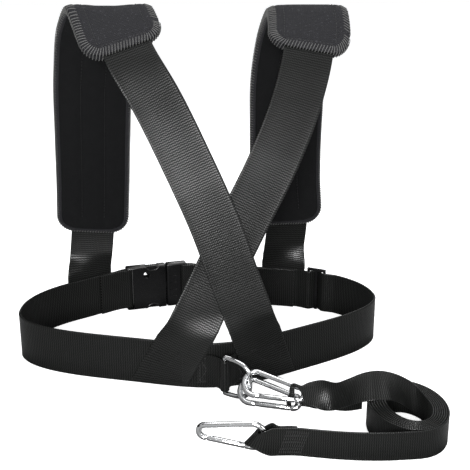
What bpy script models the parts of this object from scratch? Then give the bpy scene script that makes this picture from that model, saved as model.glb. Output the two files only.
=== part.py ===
"""Resistance sprint trainer: belt, crossed padded shoulder straps, ring, snap hooks and a wound pull strap.

Metres, +Z up. The trainer stands on the lower edge of its belt. +Y is the wearer's front, +X the wearer's right
as seen from behind. The origin is on the lower edge of the belt, in the middle of the wearer's back.
"""

import math

import bmesh
import bpy
import numpy as np

# Fit between pieces that touch
GAP = 0.0003
SEWN_GAP = 0.0005
OVERRUN = 0.002

# Belt
BELT_WIDTH = 0.050
BELT_THICK = 0.002
BELT_HALF_SPAN = 0.200
BELT_BACK_DEPTH = 0.086
BELT_FRONT_DEPTH = 0.115
BELT_BACK_POWER = 1.9
BELT_FRONT_POWER = 2.2
BACK_PULL_X = 0.011
BACK_PULL_DEPTH = 0.022
BACK_PULL_REACH = 0.078
FRONT_PULL_X = -0.030
FRONT_PULL_DEPTH = 0.010
FRONT_PULL_REACH = 0.060
BELT_STEP = 0.0105
SETTLE_SHARE = 1.2

# Side release buckle, its length along the belt, its height up the belt
BUCKLE_LEFT_X = -0.083
SOCKET_LENGTH = 0.050
PLUG_LENGTH = 0.026
BUCKLE_OVER_BELT = 0.006
BUCKLE_HEIGHT = BELT_WIDTH + BUCKLE_OVER_BELT
BUCKLE_SILL = 0.003
SILL_FADE = 0.060
BUCKLE_THICK = 0.012
BUCKLE_WALL = 0.0018
BUCKLE_SIDE_WALL = 0.0045
BUCKLE_BAR = 0.0030
BAR_FROM_END = 0.0036
BUCKLE_EDGE_ROUND = 0.0015
WINDOW_LENGTH = 0.017
WINDOW_FROM_MOUTH = 0.009
BACK_HOLE_LENGTH = 0.013
BACK_HOLE_HEIGHT = 0.008
PRONG_ARM = 0.0042
PRONG_TOE_CLEAR = 0.0013
PRONG_ROOT_SHARES = (0.5, 1.4)
PRONG_HEEL_SHARE = 0.4
GUIDE_HEIGHT = 0.009
WEB_FOLD_BACK = 0.034
BUCKLE_CLOSED_END = 0.0125

# Feet of the shoulder straps on the belt
LEFT_FRONT_FOOT_X = -0.124
LEFT_BACK_FOOT_X = 0.060
RIGHT_FRONT_FOOT_X = 0.111
RIGHT_BACK_FOOT_X = -0.050

# Slider on the belt, beside the right shoulder strap's front foot
SLIDER_FROM_STRAP = 0.040
SLIDER_X = RIGHT_FRONT_FOOT_X + SLIDER_FROM_STRAP
SLIDER_LENGTH = 0.024
SLIDER_OVER_BELT = 0.008
SLIDER_HEIGHT = BELT_WIDTH + SLIDER_OVER_BELT
SLIDER_THICK = 0.003
SLIDER_BAR = 0.0036
SLIDER_EDGE = 0.0033
TAIL_FROM_SLIDER = 0.023
BELT_TAIL_END_X = SLIDER_X - TAIL_FROM_SLIDER

# Shoulder straps
STRAP_WIDTH = 0.050
STRAP_THICK = 0.002
STRAP_FOOT_Z = 0.004
STRAP_FOOT_BLEND = 0.024
STRAP_FOOT_RISE = 0.006
STRAP_FOOT_EASE = 0.040
STRAP_STIFF_ROWS = 9
STRAP_FRONT_SHARES = (0.55, 1.10)
STRAP_BACK_SHARES = (1.15, 0.60)
CROSS_CLEAR = 0.0022
CROSS_LOW_Z = 0.055
CROSS_HIGH_Z = 0.205
CROSS_FADE = 0.030

# Free course of each strap, from above the belt in front, over the shoulder, to above the belt behind
LEFT_COURSE = (
    (-0.1195, 0.0990, 0.112),
    (-0.1165, 0.0910, 0.160),
    (-0.1130, 0.0710, 0.232),
    (-0.1085, 0.0470, 0.302),
    (-0.1000, 0.0230, 0.352),
    (-0.0890, -0.0010, 0.371),
    (-0.0800, -0.0260, 0.354),
    (-0.0700, -0.0440, 0.330),
    (-0.0465, -0.0620, 0.288),
    (-0.0170, -0.0810, 0.225),
    (0.0060, -0.0930, 0.170),
    (0.0230, -0.1010, 0.120),
)
RIGHT_COURSE = (
    (0.1160, 0.0980, 0.115),
    (0.1110, 0.0895, 0.163),
    (0.1060, 0.0690, 0.240),
    (0.1040, 0.0475, 0.302),
    (0.1090, 0.0230, 0.352),
    (0.1125, -0.0010, 0.371),
    (0.1110, -0.0260, 0.354),
    (0.1060, -0.0440, 0.330),
    (0.0925, -0.0620, 0.288),
    (0.0640, -0.0810, 0.225),
    (0.0340, -0.0930, 0.170),
    (0.0080, -0.1010, 0.120),
)

# Shoulder pads
PAD_WIDTH = 0.082
PAD_LENGTH = 0.345
PAD_CORNER = 0.020
PAD_THICK = 0.009
PAD_EDGE_DROP = 0.0022
PAD_SKIN = 0.0018
COVER_FLAT_PAST_STRAP = 0.004
COVER_EDGE_DROP = 0.0038
PAD_COLUMN_SHARES = (-1.0, -0.70, -0.35, 0.0, 0.35, 0.70, 1.0)
COVER_COLUMN_SHARES = (-1.0, -0.716, -0.36, 0.0, 0.36, 0.716, 1.0)
PAD_CHANNEL = 0.0012
CHANNEL_PLACE_SHARE = 0.36
CHANNEL_SPREAD_SHARE = 0.13
PAD_LOWER_Z = 0.108
BINDING_WIDTH = 0.005
BINDING_THICK = 0.0058
BINDING_CORNER_STEPS = 5
ROW_STEP = 0.028
FRONT_ROW_SHARE = 0.6
BACK_ROW_SHARE = 0.8
ROW_TURN = 0.20

# Ring tab
TAB_WIDTH = 0.033
TAB_THICK = 0.002
TAB_FOOT = 0.020
TAB_ARCH = 0.0185
TAB_FOOT_START_SHARE = 1.6

# Neck of the tab: shares of its rise from the belt, and half widths as shares of the ring clearance
TAB_NECK_SHARES = (
    (0.04, 1.30),
    (0.26, 0.72),
    (0.50, 0.66),
)

# D-ring
RING_WIRE = 0.0045
RING_HEIGHT = 0.044
RING_DEPTH = 0.0300
RING_POWER = 3.2
RING_SWING_DEG = -41.0

# Snap hooks
HOOK_LENGTH = 0.066
HOOK_WIDE = 0.029
HOOK_NARROW = 0.018
HOOK_WIRE = 0.0055
HOOK_TONGUE_SHARES = ((0.0, 0.72), (0.5, 0.52), (0.75, 0.25))
HOOK_NOSE_SHARES = ((0.0, 0.6), (1.0, 0.6), (1.5, 0.3))
NOSE_FROM_WIDE = 0.023
HINGE_FROM_NARROW = 0.0145
GATE_DIAMETER = 0.0052
GATE_END_SHARES = ((0.0, 0.86), (0.2, 1.0), (0.5, 1.0), (0.0, 0.72))
TONGUE_THICK = 0.0018
SHOULDER_REACH = 0.0043
FORK_REACH = 0.0030
RIVET_DIAMETER = 0.0016
SPRING_DIAMETER = 0.0026
SPRING_WIRE = 0.0005
SPRING_LENGTH = 0.008
SPRING_TURNS = 6
PAIR_HEADING_DEG = -22.0
PAIR_TILT_DEG = 40.0
PAIR_SEAT = 0.0089
LOWER_HOOK_SHIFT = -0.0040
PAIR_LIFT = 0.0016
FREE_HOOK_HEADING_DEG = 161.8
FREE_HOOK_SEAT = (0.0352, -0.2358)
FREE_HOOK_PITCH_DEG = 7.0

# Pull strap
PULL_WIDTH = 0.028
PULL_THICK = 0.0014
COIL_CENTRE = (0.1702, -0.2150)
COIL_HALF_LENGTH = 0.0367
COIL_HALF_DEPTH = 0.0480
COIL_PITCH_LEFT = 0.0026
COIL_PITCH_RIGHT = 0.00195
COIL_PITCH_NEAR = 0.0023
COIL_TURNS = 7.27
COIL_STEPS_PER_TURN = 28
COIL_LEAD_SHARE = 0.04
LOWER_RUN = (
    (0.0720, -0.2474),
    (0.0900, -0.2530),
    (0.1120, -0.2585),
    (0.1340, -0.2620),
    (0.1520, -0.2632),
)
LOOP_LEG_SPREAD = 0.0058
LOOP_FOLD_HEIGHT = 0.0125
LOOP_FOLD_THICK = 0.0022
LOOP_FOLD_FROM_END = 0.0105
LOOP_TAIL_X = 0.060
LOOP_RUN_SHARES = (0.25, 0.35, 0.30)
LOOP_SIDE_SHARES = (0.45, 0.85, 0.55, 0.10)
LOOP_WIRE_SHARE = 1.1
LOOP_CROWN_SHARE = 0.4
LOOP_EASE_SHARES = (0.7, 3.0)
EYE_WIDTH = 0.007
EYE_THICK = 0.0020
EYE_NECK_WIDTH = 0.0017
EYE_NECK_DEPTH = 0.0045
EYE_FROM_WIDE = 0.0514
EYE_CLEAR = 0.0014

# Eye stations, each with shares of its own: how far along, up and off the hooks, its width and its thickness
EYE_IN_SHARES = (
    (1.0, 1.50, 1.15, 0.70, 1.0),
    (-1.0, 1.45, 1.05, 0.42, 0.8),
    (1.6, 0.70, 1.0, 0.8, 1.0),
    (2.2, 1.0, 1.0, 1.5, 1.0),
    (0.5, 1.0, 0.25, 1.0, 0.8),
)
EYE_NECK_SHARES = (0.5, 0.9)
EYE_OUT_SHARES = (
    (0.9, 1.0, 0.15, 1.0, 1.1),
    (2.0, 1.2, 1.0, 1.5, 1.0),
    (1.3, 0.9, 1.0, 0.8, 1.0),
    (0.0, 1.3, 0.9, 1.2, 0.8),
)

# Upper run of the pull strap: middle point and lean from upright in degrees
UPPER_RUN = (
    (0.1909, -0.2048, 0.0155, 0.0),
    (0.1872, -0.1992, 0.0190, 3.0),
    (0.1815, -0.1956, 0.0240, 8.0),
    (0.1730, -0.1955, 0.0300, 16.0),
    (0.1630, -0.1985, 0.0365, 28.0),
    (0.1520, -0.2020, 0.0410, 38.0),
    (0.1400, -0.2030, 0.0420, 42.0),
    (0.1280, -0.1990, 0.0380, 36.0),
    (0.1180, -0.1925, 0.0305, 24.0),
    (0.1080, -0.1835, 0.0225, 12.0),
)
EYE_TAIL = (
    (0.0985, -0.1655, 0.0090, 0.015),
    (0.1110, -0.1700, 0.0125, 0.023),
    (0.1230, -0.1740, 0.0143, 0.027),
    (0.1400, -0.1725, 0.0143, 0.027),
)

MATERIALS = {
    "webbing": ((0.022, 0.022, 0.023), 0.72, 0.0),
    "pad_fabric": ((0.018, 0.018, 0.019), 0.85, 0.0),
    "pad_lining": ((0.012, 0.012, 0.013), 0.90, 0.0),
    "foam": ((0.10, 0.10, 0.10), 0.95, 0.0),
    "binding": ((0.016, 0.016, 0.017), 0.78, 0.0),
    "buckle_plastic": ((0.020, 0.020, 0.021), 0.42, 0.0),
    "plated_steel": ((0.80, 0.81, 0.82), 0.16, 1.0),
    "spring_steel": ((0.55, 0.56, 0.58), 0.30, 1.0),
}


def material(name):
    """The finish of one kind of piece."""
    found = bpy.data.materials.get(name)
    if found:
        return found
    colour, roughness, metallic = MATERIALS[name]
    made = bpy.data.materials.new(name)
    made.use_nodes = True
    shader = made.node_tree.nodes["Principled BSDF"]
    shader.inputs["Base Color"].default_value = (*colour, 1.0)
    shader.inputs["Roughness"].default_value = roughness
    shader.inputs["Metallic"].default_value = metallic
    return made


def unit(vector):
    """The vector at length one."""
    vector = np.asarray(vector, float)
    return vector / np.linalg.norm(vector)


def rise_along(route):
    """Distance from the start of a route to each of its points."""
    steps = np.linalg.norm(np.diff(route, axis=0), axis=1)
    return np.concatenate([[0.0], np.cumsum(steps)])


def resample(route, count):
    """The route with its points spaced evenly."""
    at = rise_along(route[:, :3])
    even = np.linspace(0.0, at[-1], count)
    return np.column_stack([np.interp(even, at, route[:, k]) for k in range(route.shape[1])])


def smooth_route(points, count):
    """Evenly spaced points on a smooth curve through the given ones."""
    knots = np.asarray(points, float)
    at = rise_along(knots[:, :3])
    slopes = np.gradient(knots, at, axis=0)
    fine = np.linspace(0.0, at[-1], 12 * len(knots))
    k = np.clip(np.searchsorted(at, fine) - 1, 0, len(knots) - 2)
    span = (at[k + 1] - at[k])[:, None]
    t = ((fine - at[k])[:, None]) / span
    start = (1 + 2 * t) * (1 - t) ** 2 * knots[k] + t * (1 - t) ** 2 * span * slopes[k]
    end = t * t * (3 - 2 * t) * knots[k + 1] + t * t * (t - 1) * span * slopes[k + 1]
    return resample(start + end, count)


def directions(route):
    """Unit direction of travel at each point of a route."""
    along = np.gradient(route, axis=0)
    return along / np.linalg.norm(along, axis=1)[:, None]


# Middle radius of the webbing's fold round a square bar of the buckle
BAR_FOLD = BUCKLE_BAR * math.sqrt(2.0) / 2.0 + GAP + BELT_THICK / 2.0


# Belt outline in plan


def make_outline():
    """Middle line of the belt from the front centre, over the wearer's left, round the back, to the front."""
    turn = np.linspace(0.0, 2.0 * math.pi, 1441)
    side = -np.sin(turn)
    ahead = np.cos(turn)
    front = ahead >= 0
    power = np.where(front, BELT_FRONT_POWER, BELT_BACK_POWER)
    depth = np.where(front, BELT_FRONT_DEPTH, BELT_BACK_DEPTH)
    x = BELT_HALF_SPAN * np.sign(side) * np.abs(side) ** (2.0 / power)
    y = depth * np.sign(ahead) * np.abs(ahead) ** (2.0 / power)
    back_pull = BACK_PULL_DEPTH * np.exp(-(((x - BACK_PULL_X) / BACK_PULL_REACH) ** 2))
    front_pull = FRONT_PULL_DEPTH * np.exp(-(((x - FRONT_PULL_X) / FRONT_PULL_REACH) ** 2))
    y = y + np.where(front, front_pull, -back_pull)
    return resample(np.column_stack([x, y, np.zeros_like(x)]), 1441)


OUTLINE = make_outline()
OUTLINE_AT = rise_along(OUTLINE)
OUTLINE_WAY = directions(OUTLINE)


def outline_place(x, front):
    """Distance along the belt's middle line at which it passes x, in front or behind."""
    where = OUTLINE[:, 1] > 0 if front else OUTLINE[:, 1] < 0
    miss = np.where(where, np.abs(OUTLINE[:, 0] - x), 9.0)
    return OUTLINE_AT[int(np.argmin(miss))]


def outline_point(at, out=0.0, z=0.0):
    """Point beside the belt's middle line, out to its outer side."""
    place = np.array([np.interp(at, OUTLINE_AT, OUTLINE[:, k]) for k in range(3)])
    way = np.array([np.interp(at, OUTLINE_AT, OUTLINE_WAY[:, k]) for k in range(3)])
    return place + out * unit((way[1], -way[0], 0.0)) + np.array([0.0, 0.0, z])


DATUM = outline_point(outline_place(BACK_PULL_X, False))
if outline_point(outline_place(BACK_PULL_X, False), 0.01)[1] > DATUM[1]:
    raise ValueError("the belt's outer side has to face away from the wearer")


# Building closed bodies


def add_solid(name, verts, faces, finish, origin=(0.0, 0.0, 0.0), flat=False):
    """One closed body as a named object, its own origin at the given place."""
    origin = np.asarray(origin, float)
    mesh = bpy.data.meshes.new(name)
    mesh.from_pydata([tuple(np.asarray(v, float) - origin) for v in verts], [], faces)
    work = bmesh.new()
    work.from_mesh(mesh)
    bmesh.ops.recalc_face_normals(work, faces=work.faces)
    work.to_mesh(mesh)
    work.free()
    if not flat:
        mesh.shade_smooth()
        mesh.set_sharp_from_angle(angle=math.radians(35.0))
    mesh.materials.append(material(finish))
    made = bpy.data.objects.new(name, mesh)
    bpy.context.collection.objects.link(made)
    made.parent = FRAME
    made.location = tuple(origin)
    return made


def skin(rings, closed=False):
    """Corners and faces of a body lofted through rings of equal count."""
    rings = np.asarray(rings, float)
    count, sides = rings.shape[:2]
    faces = []
    for i in range(count if closed else count - 1):
        for j in range(sides):
            a, b = i * sides + j, i * sides + (j + 1) % sides
            c, d = (i + 1) % count * sides + (j + 1) % sides, (i + 1) % count * sides + j
            faces += [(a, b, c), (a, c, d)] if j < sides // 2 else [(a, b, d), (b, c, d)]
    if not closed:
        faces.append(tuple(range(sides))[::-1])
        faces.append(tuple((count - 1) * sides + j for j in range(sides)))
    return rings.reshape(-1, 3), faces


def strip_rings(route, wide, thick, width, thickness):
    """Flat rings of a strip: its middle line, its width and thickness directions, and its sizes."""
    width = np.broadcast_to(width, len(route))
    thickness = np.broadcast_to(thickness, len(route))
    rings = []
    for p, w, t, a, b in zip(route, wide, thick, width, thickness):
        u, v = w * a / 2.0, t * b / 2.0
        rings.append([p - u - v, p + u - v, p + u + v, p - u + v])
    return rings


def round_rings(route, side, radius, sides=10):
    """Round rings of a wire whose route lies square to one side direction."""
    ways = directions(route)
    angles = np.arange(sides) * 2.0 * math.pi / sides
    rings = []
    for p, way in zip(route, ways):
        other = np.cross(way, side)
        rings.append([p + radius * (math.cos(a) * side + math.sin(a) * other) for a in angles])
    return rings


def sheet_solid(grid, normals, thickness):
    """Corners and faces of a sheet of even thickness about a grid of middle points."""
    rows, cols = grid.shape[:2]
    upper = grid + normals * thickness / 2.0
    lower = grid - normals * thickness / 2.0
    return two_sided(upper, lower, rows, cols)


def two_sided(upper, lower, rows, cols):
    """Corners and faces between two grids of equal size."""
    verts = np.concatenate([upper.reshape(-1, 3), lower.reshape(-1, 3)])
    base = rows * cols
    faces = []
    for i in range(rows - 1):
        for j in range(cols - 1):
            a, b, c, d = i * cols + j, i * cols + j + 1, (i + 1) * cols + j + 1, (i + 1) * cols + j
            faces += [(a, b, c), (a, c, d)]
            faces += [(base + c, base + b, base + a), (base + d, base + c, base + a)]
    rim = [j for j in range(cols)]
    rim += [i * cols + cols - 1 for i in range(1, rows)]
    rim += [(rows - 1) * cols + j for j in range(cols - 2, -1, -1)]
    rim += [i * cols for i in range(rows - 2, 0, -1)]
    for k, a in enumerate(rim):
        b = rim[(k + 1) % len(rim)]
        faces.append((b, a, base + a, base + b))
    return verts, faces


def box(low, high):
    """Corners and faces of a box."""
    verts = [(x, y, z) for x in (low[0], high[0]) for y in (low[1], high[1]) for z in (low[2], high[2])]
    faces = [(0, 1, 3, 2), (4, 6, 7, 5), (0, 4, 5, 1), (2, 3, 7, 6), (0, 2, 6, 4), (1, 5, 7, 3)]
    return np.array(verts), faces


def place(verts, axes, at):
    """Corners carried from a piece's own axes to its place."""
    return np.asarray(verts, float) @ np.array(axes, float) + np.asarray(at, float)


def cut(target, name, verts, faces):
    """Takes a closed cutter away from a piece."""
    cutter = add_solid(name, verts, faces, "foam", flat=True)
    cutter.hide_render = True
    cutter.display_type = "WIRE"
    step = target.modifiers.new(name, "BOOLEAN")
    step.operation = "DIFFERENCE"
    step.solver = "EXACT"
    step.object = cutter


def soften(target, width, angle=40.0):
    """Rounds a moulded piece's edges."""
    step = target.modifiers.new("edges", "BEVEL")
    step.width = width
    step.segments = 2
    step.limit_method = "ANGLE"
    step.angle_limit = math.radians(angle)


# Belt


def upright_strip(name, plan, width, thickness, finish, base=0.0):
    """Webbing standing on edge along a plan route."""
    ways = directions(plan)
    up = np.tile([0.0, 0.0, 1.0], (len(plan), 1))
    across = np.column_stack([-ways[:, 1], ways[:, 0], np.zeros(len(plan))])
    middle = plan.copy()
    middle[:, 2] = base + width / 2.0
    verts, faces = skin(strip_rings(middle, up, across, width, thickness))
    return add_solid(name, verts, faces, finish)


def fold_round(centre, along, out, radius, steps, start_deg, end_deg):
    """Points of a fold about an upright bar, angles from the along direction towards out."""
    angles = np.radians(np.linspace(start_deg, end_deg, steps))
    return [centre + radius * (math.cos(a) * along + math.sin(a) * out) for a in angles]


def buckle_axes():
    """The buckle's own axes: along the belt, out of the belt, up, and its left end on the belt line."""
    left = outline_point(outline_place(BUCKLE_LEFT_X, True))
    length = SOCKET_LENGTH + PLUG_LENGTH + GAP
    right = outline_point(outline_place(BUCKLE_LEFT_X + length, True))
    along = unit(right - left)
    out = np.array([-along[1], along[0], 0.0])
    return left, along, out, length


def make_belt():
    """The belt's webbing, folded round the bar at each end of the buckle, its tail lying inside."""
    left, along, out, length = buckle_axes()
    fold = BAR_FOLD
    first_bar = left + along * BAR_FROM_END
    last_bar = left + along * (length - BAR_FROM_END)
    inner = -(BELT_THICK + 2.0 * GAP)
    start = outline_place(BUCKLE_LEFT_X, True)
    slider_at = outline_place(SLIDER_X, True)
    end = outline_place(BUCKLE_LEFT_X + length, True)
    if end < start:
        end += OUTLINE_AT[-1]

    def side_point(at, offset):
        return outline_point(at % OUTLINE_AT[-1], offset)

    lift = (SLIDER_THICK + BELT_THICK) / 2.0 + GAP
    edge = SLIDER_LENGTH / 2.0 - SLIDER_EDGE / 2.0

    def weave(at):
        """Offset of the belt as it threads the slider: under its ends and over its middle bar."""
        d = abs(at - slider_at)
        if d > SLIDER_LENGTH:
            return 0.0
        half = SLIDER_EDGE / 2.0
        marks = (0.0, SLIDER_BAR / 2.0, edge - half, edge + half, SLIDER_LENGTH)
        return float(np.interp(d, marks, (lift, lift, -lift, -lift, 0.0)))

    back = WEB_FOLD_BACK
    points = [side_point(start + back * k / 4.0, inner) for k in (4, 3, 2, 1)]
    points += fold_round(first_bar, along, out, fold, 7, -90.0, 90.0)
    run_start = start + fold
    count = int((end - run_start) / BELT_STEP)
    run = [run_start + BELT_STEP * (k + 1) for k in range(count)]
    near = [slider_at + SLIDER_LENGTH * k / 12.0 for k in range(-12, 13)]
    run = sorted([a for a in run if abs(a - slider_at) > SLIDER_LENGTH and a < end - 2.0 * fold] + near)
    settle = SETTLE_SHARE * BELT_STEP

    def blend(at):
        """Share of the way from the bar's outer side back to the middle line."""
        return min(1.0, (at - start) / settle, (end - at) / settle)

    points += [side_point(a, weave(a) + fold * max(0.0, 1.0 - blend(a))) for a in run]
    points += fold_round(last_bar, -along, out, fold, 7, 90.0, -90.0)
    tail_end = outline_place(BELT_TAIL_END_X, True)
    tail = np.arange(end - 2.0 * fold, tail_end, -BELT_STEP)
    points += [side_point(a, inner - (fold + inner) * max(0.0, 1.0 - (end - a) / settle)) for a in tail]
    plan = np.array(points)
    away = np.minimum(np.linalg.norm(plan - first_bar, axis=1), np.linalg.norm(plan - last_bar, axis=1))
    fade = np.clip(1.0 - (away - BUCKLE_SILL) / SILL_FADE, 0.0, 1.0)
    base = BUCKLE_SILL * fade * fade * (3.0 - 2.0 * fade)
    return upright_strip("belt_webbing", plan, BELT_WIDTH, BELT_THICK, "webbing", base)


def make_slider():
    """Three bar slider that the belt threads through."""
    at = outline_place(SLIDER_X, True)
    centre = outline_point(at)
    along = unit(outline_point(at - SLIDER_LENGTH / 2.0) - outline_point(at + SLIDER_LENGTH / 2.0))
    out = unit(outline_point(at, OVERRUN) - centre)
    axes = (along, out, (0.0, 0.0, 1.0))
    middle = centre + np.array([0.0, 0.0, BELT_WIDTH / 2.0])
    half = np.array([SLIDER_LENGTH, SLIDER_THICK, SLIDER_HEIGHT]) / 2.0
    low = np.maximum(-half, (-half[0], -half[1], -BELT_WIDTH / 2.0 + GAP / 3.0))
    verts, faces = box(low, half)
    made = add_solid("belt_slider", place(verts, axes, middle), faces, "buckle_plastic")
    soften(made, BUCKLE_EDGE_ROUND / 3.0)
    inner = SLIDER_BAR / 2.0
    outer = half[0] - SLIDER_EDGE
    for side, name in ((-1.0, "slider_slot_left"), (1.0, "slider_slot_right")):
        ends = sorted((side * inner, side * outer))
        verts, faces = box((ends[0], -half[1] - OVERRUN, low[2] - OVERRUN),
                           (ends[1], half[1] + OVERRUN, BELT_WIDTH / 2.0 + GAP))
        cut(made, name, place(verts, axes, middle), faces)
    return made


# Buckle


def buckle_place(verts):
    """Carries corners from the buckle's own axes to the belt."""
    left, along, out, _ = buckle_axes()
    return place(verts, (along, out, (0.0, 0.0, 1.0)), left)


def buckle_box(u0, u1, v, w0, w1):
    """Box in the buckle's own axes, centred on the belt line through its thickness."""
    verts, faces = box((u0, -v / 2.0, w0), (u1, v / 2.0, w1))
    return buckle_place(verts), faces


def buckle_bar_cut(target, name, from_left):
    """Opens one end of a buckle half all round its bar, which the webbing is folded on."""
    length = buckle_axes()[3]
    low = BAR_FROM_END - BUCKLE_BAR / 2.0
    reach = BAR_FROM_END + BAR_FOLD + BELT_THICK / 2.0 + GAP
    deep = (BUCKLE_THICK + OVERRUN) / 2.0
    rings = []
    for ends, side in (((-OVERRUN, reach), deep), ((low, low + BUCKLE_BAR), BUCKLE_BAR / 2.0)):
        u0, u1 = ends if from_left else (length - ends[1], length - ends[0])
        rings += [(u0, -side), (u1, -side), (u1, side), (u0, side)]
    levels = (BUCKLE_SILL - GAP, BUCKLE_SILL + BELT_WIDTH + GAP)
    verts = [(u, v, w) for w in levels for u, v in rings]
    faces = []
    for k in range(4):
        n = (k + 1) % 4
        faces += [(k, n, 8 + n, 8 + k), (4 + n, 4 + k, 12 + k, 12 + n)]
        faces += [(n, k, 4 + k, 4 + n), (8 + k, 8 + n, 12 + n, 12 + k)]
    cut(target, name, buckle_place(verts), faces)


def make_socket():
    """Socket half: a flat case, open to the plug, with a window in each side and a hole in its inner face."""
    verts, faces = buckle_box(0.0, SOCKET_LENGTH, BUCKLE_THICK, 0.0, BUCKLE_HEIGHT)
    made = add_solid("buckle_socket", verts, faces, "buckle_plastic")
    soften(made, BUCKLE_EDGE_ROUND)
    inside = BUCKLE_THICK - 2.0 * BUCKLE_WALL
    side = BUCKLE_SIDE_WALL
    verts, faces = buckle_box(BUCKLE_CLOSED_END, SOCKET_LENGTH + OVERRUN, inside, side, BUCKLE_HEIGHT - side)
    cut(made, "socket_cavity", verts, faces)
    window_end = SOCKET_LENGTH - WINDOW_FROM_MOUTH
    verts, faces = buckle_box(window_end - WINDOW_LENGTH, window_end, inside - 2.0 * GAP, -OVERRUN,
                              BUCKLE_HEIGHT + OVERRUN)
    cut(made, "socket_windows", verts, faces)
    buckle_bar_cut(made, "socket_bar_slot", True)
    hole_centre = (BUCKLE_CLOSED_END + SOCKET_LENGTH) / 2.0
    hole_top = BUCKLE_HEIGHT - 2.0 * BUCKLE_SIDE_WALL
    verts, faces = box((hole_centre - BACK_HOLE_LENGTH / 2.0, -BUCKLE_THICK, hole_top - BACK_HOLE_HEIGHT),
                       (hole_centre + BACK_HOLE_LENGTH / 2.0, 0.0, hole_top))
    cut(made, "socket_inner_hole", buckle_place(verts), faces)


def make_plug():
    """Plug half: a flat body with a bar for the webbing and a guide that enters the socket."""
    length = buckle_axes()[3]
    start = SOCKET_LENGTH + GAP
    verts, faces = buckle_box(start, length, BUCKLE_THICK, 0.0, BUCKLE_HEIGHT)
    plug = add_solid("buckle_plug", verts, faces, "buckle_plastic")
    soften(plug, BUCKLE_EDGE_ROUND)
    buckle_bar_cut(plug, "plug_bar_slot", False)
    inside = BUCKLE_THICK - 2.0 * BUCKLE_WALL
    middle = BUCKLE_HEIGHT / 2.0
    verts, faces = buckle_box(BUCKLE_CLOSED_END + BUCKLE_SIDE_WALL, start + BUCKLE_WALL, inside - 2.0 * GAP,
                              middle - GUIDE_HEIGHT / 2.0, middle + GUIDE_HEIGHT / 2.0)
    guide = add_solid("plug_guide_body", verts, faces, "buckle_plastic", flat=True)
    guide.hide_render = True
    guide.display_type = "WIRE"
    join = plug.modifiers.new("guide", "BOOLEAN")
    join.operation = "UNION"
    join.solver = "EXACT"
    join.object = guide


def make_prongs():
    """The plug's two springing prongs, whose pads fill the socket's windows."""
    out = buckle_axes()[2]
    inside = BUCKLE_THICK - 2.0 * BUCKLE_WALL
    pad_high = SOCKET_LENGTH - WINDOW_FROM_MOUTH - GAP
    pad_low = pad_high + GAP - WINDOW_LENGTH + PRONG_TOE_CLEAR
    wall = BUCKLE_SIDE_WALL + GAP
    root = SOCKET_LENGTH
    arm_low, arm_high = (wall + PRONG_ARM * share for share in PRONG_ROOT_SHARES)
    for lower, name in ((True, "buckle_prong_lower"), (False, "buckle_prong_upper")):
        profile = (
            (root, arm_low),
            (root, arm_high),
            (pad_low, arm_high),
            (pad_low, 2.0 * GAP),
            (pad_high - PRONG_ARM, GAP),
            (pad_high, 3.0 * GAP),
            (pad_high, wall + PRONG_ARM * PRONG_HEEL_SHARE),
        )
        half = inside / 2.0 - 2.0 * GAP
        points = [(u, v, w if lower else BUCKLE_HEIGHT - w) for v in (-half, half) for u, w in profile]
        count = len(profile)
        faces = [tuple(range(count)), tuple(range(2 * count - 1, count - 1, -1))]
        faces += [(k, count + k, count + (k + 1) % count, (k + 1) % count) for k in range(count)]
        pivot_w = wall + PRONG_ARM
        pivot = buckle_place([(root, 0.0, pivot_w if lower else BUCKLE_HEIGHT - pivot_w)])[0]
        add_solid(name, buckle_place(points), faces, "buckle_plastic", origin=pivot)
        say(name + " hinge", pivot, out)


# Shoulder straps and pads


def strap_course(side):
    """Middle line of a strap and its outward normals, from its front foot on the belt to its back foot."""
    left = side == "left"
    out = (BELT_THICK + STRAP_THICK) / 2.0 + SEWN_GAP
    tab = TAB_THICK + SEWN_GAP
    front_at = outline_place(LEFT_FRONT_FOOT_X if left else RIGHT_FRONT_FOOT_X, True)
    back_at = outline_place(LEFT_BACK_FOOT_X if left else RIGHT_BACK_FOOT_X, False)
    heights = [STRAP_FOOT_Z] + [BELT_WIDTH * share for share in STRAP_FRONT_SHARES]
    front = [outline_point(front_at, out, z) for z in heights]
    lean = LEFT_BACK_FOOT_X - LEFT_COURSE[-1][0] if left else RIGHT_BACK_FOOT_X - RIGHT_COURSE[-1][0]
    back = []
    for height_share in STRAP_BACK_SHARES:
        height = BELT_WIDTH * height_share
        share = (height - STRAP_FOOT_Z) / (LEFT_COURSE[-1][2] - STRAP_FOOT_Z)
        at = outline_place((LEFT_BACK_FOOT_X if left else RIGHT_BACK_FOOT_X) - lean * share, False)
        back.append(outline_point(at, out + tab, height))
    back.append(outline_point(back_at, out + tab, STRAP_FOOT_Z))
    course = np.array(front + [np.array(p) for p in (LEFT_COURSE if left else RIGHT_COURSE)] + back)
    route = smooth_route(course, 240)
    way = directions(route)
    normal = np.column_stack([np.zeros(len(route)), way[:, 2], -way[:, 1]])
    normal /= np.linalg.norm(normal, axis=1)[:, None]
    padded = np.pad(way[:, 0], STRAP_STIFF_ROWS, mode="edge")
    count = 2 * STRAP_STIFF_ROWS + 1
    way[:, 0] = np.convolve(padded, np.ones(count) / count, mode="valid")
    behind = route[:, 1] < 0
    beyond = np.maximum(CROSS_LOW_Z - route[:, 2], route[:, 2] - CROSS_HIGH_Z)
    swell = np.clip(1.0 - beyond / CROSS_FADE, 0.0, 1.0) * behind
    route = route + normal * (swell * (CROSS_CLEAR if left else -CROSS_CLEAR))[:, None]
    return route, way, normal


def strap_rows(at, bend, first, last, step, turn):
    """Places along a stretch of a strap, closer where it bends."""
    keep = (at >= first) & (at <= last)
    where = at[keep]
    density = 1.0 / step + bend[keep] / turn
    total = np.concatenate([[0.0], np.cumsum((density[1:] + density[:-1]) / 2.0 * np.diff(where))])
    count = int(math.ceil(total[-1]))
    return np.interp(np.linspace(0.0, total[-1], count + 1), total, where)


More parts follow.
